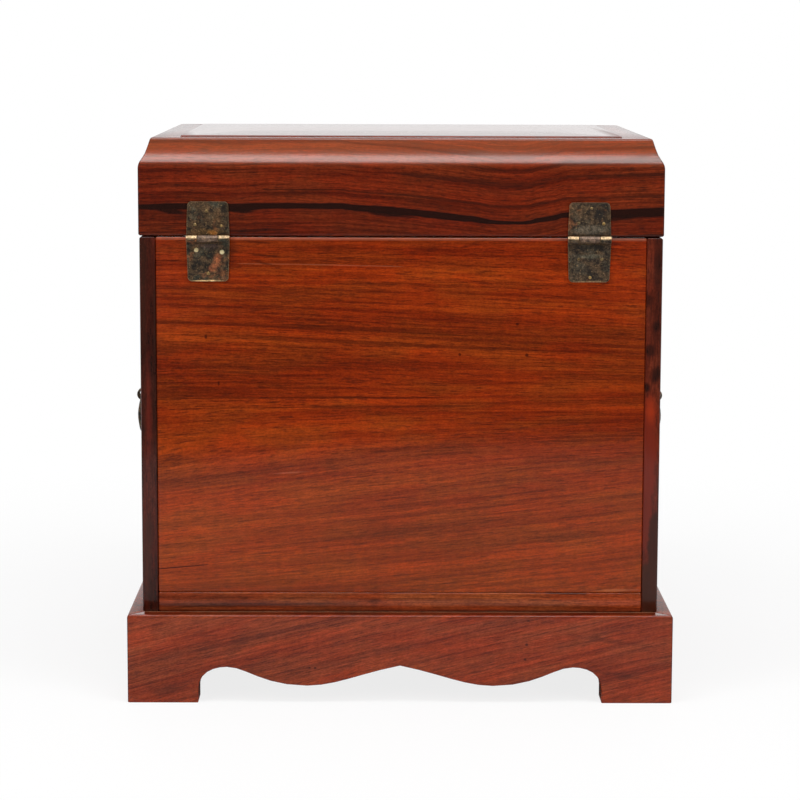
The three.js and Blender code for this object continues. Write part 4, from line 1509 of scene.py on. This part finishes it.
@dataclass
class Doors:
    """The pair of doors with their hinges, lock plates and pulls."""

    arris: float = 0.35

    def build(self) -> None:
        """Dresses the doors and their brass."""
        for side in SIDES:
            dress_wood("door_" + side, RED_LID, Run.TALL_UPRIGHT, self.arris)
            dress_brass("door_lock_plate_" + side, HINGE_BRASS)
            dress_brass("door_pull_" + side, HINGE_BRASS)
            for level in ("lower", "upper"):
                dress_brass(f"door_leaf_{level}_{side}", HINGE_BRASS)
                dress_brass(f"side_leaf_{level}_{side}", HINGE_BRASS)


@dataclass
class Drawers:
    """The four drawers: their fronts, trays and pulls."""

    names: tuple[str, ...] = ("bottom_drawer", "middle_drawer", "top_left_drawer", "top_right_drawer")

    def build(self) -> None:
        """Dresses each drawer."""
        for name in self.names:
            dress_wood(name + "_front", RED_LID, Run.ACROSS_UPRIGHT)
            dress_wood(name + "_tray", DRAWER_WOOD, Run.DEEP_UPRIGHT, 0.2)
            dress_brass(name + "_pull_plate", HINGE_BRASS)
            dress_brass(name + "_pull", HINGE_BRASS)


@dataclass
class Fastenings:
    """The hasp, its plates, and the handles on the sides."""

    def build(self) -> None:
        """Dresses the hasp and the handles."""
        for node in ("lid_lock_plate", "hasp", "rail_lock_plate"):
            dress_brass(node, HINGE_BRASS)
        for side in SIDES:
            dress_brass("handle_plate_" + side, HINGE_BRASS)
            dress_brass("handle_bail_" + side, HINGE_BRASS, 0.1)


@dataclass
class Studio:
    """The pale floor, the lamps, the world's light and the camera."""

    camera_place: tuple[float, float, float] = (0.0112, 1.8209, 0.4149)
    pitch: float = 7.93
    yaw: float = -0.38
    roll: float = 0.19
    lens: float = 118.5
    floor_radius: float = 0.9
    fill: float = 0.38

    def floor(self) -> None:
        """Lays the floor, which keeps a soft shadow near the chest and is white all round it."""
        shape = bmesh.new()
        bmesh.ops.create_circle(shape, cap_ends=True, segments=64, radius=self.floor_radius)
        mesh = bpy.data.meshes.new("floor")
        shape.to_mesh(mesh)
        shape.free()
        plane = bpy.data.objects.new("floor", mesh)
        bpy.context.scene.collection.objects.link(plane)
        material, tree, shader = new_material("floor")
        nodes = material.node_tree.nodes
        nodes.remove(shader)
        glow = tree.add("Emission")
        tree.put(glow.inputs["Strength"], 1.0)
        rays = tree.add("LightPath").outputs
        colour = tree.mix(rays["Is Glossy Ray"], (0.9, 0.9, 0.9), (0.4, 0.4, 0.4))
        paint = tree.add("BsdfDiffuse", colour)
        seen = tree.math("MAXIMUM", rays["Is Camera Ray"], rays["Is Transmission Ray"])
        reach = tree.measure("LENGTH", tree.add("TexCoord").outputs["Object"])
        share = tree.times(seen, tree.ease(reach, 0.3, 0.75, 0.82, 1.0))
        blend = tree.add("MixShader", share, paint.outputs[0], glow.outputs[0])
        tree.put(nodes["Material Output"].inputs["Surface"], blend.outputs[0])
        mesh.materials.append(material)

    def lamp(
        self,
        name: str,
        place: tuple[float, float, float],
        size: tuple[float, float],
        radiance: float,
        mirrored: bool = True,
    ) -> None:
        """Hangs a soft box that faces the middle of the chest.

        Args:
            name: The lamp's name.
            place: Its place in metres.
            size: Its width and height in metres.
            radiance: How bright its face is, where 1 is white.
            mirrored: Whether polished surfaces show it.
        """
        data = bpy.data.lights.new(name, "AREA")
        data.shape = "RECTANGLE"
        data.size, data.size_y = size
        data.energy = radiance * math.pi * size[0] * size[1]
        lamp = bpy.data.objects.new(name, data)
        lamp.location = place
        aim = Vector((0.0, 0.05, 0.17)) - Vector(place)
        lamp.rotation_euler = aim.to_track_quat("-Z", "Y").to_euler()
        lamp.visible_glossy = mirrored
        bpy.context.scene.collection.objects.link(lamp)

    def world(self) -> None:
        """Makes the world white behind the chest, dim on the camera's side and even for soft light."""
        world = bpy.data.worlds.new("studio")
        bpy.context.scene.world = world
        world.use_nodes = True
        tree = Tree(world.node_tree)
        nodes = world.node_tree.nodes
        rays = tree.add("LightPath").outputs
        _, depth, rise = tree.split(tree.add("TexCoord").outputs["Generated"])
        behind = tree.ease(depth, -0.5, 0.1, 1.0, 0.06)
        above = tree.ease(rise, 0.6, 0.95, 0.0, 1.5)
        level = tree.between(rays["Is Glossy Ray"], self.fill, tree.math("MAXIMUM", behind, above))
        seen = tree.math("MAXIMUM", rays["Is Camera Ray"], rays["Is Transmission Ray"])
        level = tree.between(seen, level, 1.0)
        tree.put(nodes["Background"].inputs["Strength"], level)
        nodes["Background"].inputs["Color"].default_value = (1, 1, 1, 1)

    def camera(self) -> None:
        """Sets the camera at the photograph's angle."""
        data = bpy.data.cameras.new("camera")
        data.lens = self.lens
        data.sensor_width = 36.0
        camera = bpy.data.objects.new("camera", data)
        level = Matrix.Rotation(math.radians(180 + self.yaw), 4, "Z")
        tip = Matrix.Rotation(math.radians(90 - self.pitch), 4, "X")
        camera.matrix_world = level @ tip @ Matrix.Rotation(math.radians(self.roll), 4, "Z")
        camera.location = self.camera_place
        bpy.context.scene.collection.objects.link(camera)
        bpy.context.scene.camera = camera

    def build(self) -> None:
        """Sets up the whole studio."""
        self.camera()
        self.floor()
        self.world()
        self.lamp("top_box", (0.0, 0.59, 1.45), (1.4, 0.48), 6.4)
        self.lamp("left_box", (-1.2, 1.3, 0.8), (0.9, 1.2), 2.15, mirrored=False)
        self.lamp("right_box", (1.2, 1.3, 0.8), (0.9, 1.2), 2.15, mirrored=False)
        self.lamp("front_box", (0.0, -1.5, 0.9), (1.4, 1.0), 2.0, mirrored=False)
        bpy.context.scene.view_settings.view_transform = "Standard"


def main() -> None:
    """Builds the studio and dresses every part of the chest."""
    logging.basicConfig(level=logging.INFO, format="%(message)s")
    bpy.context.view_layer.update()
    Studio().build()
    for part in (Carcase(), Plinth(), Lid(), RearHinges(), Doors(), Drawers(), Fastenings()):
        part.build()
        log.info("%s done", type(part).__name__)


if __name__ == "__main__":
    main()
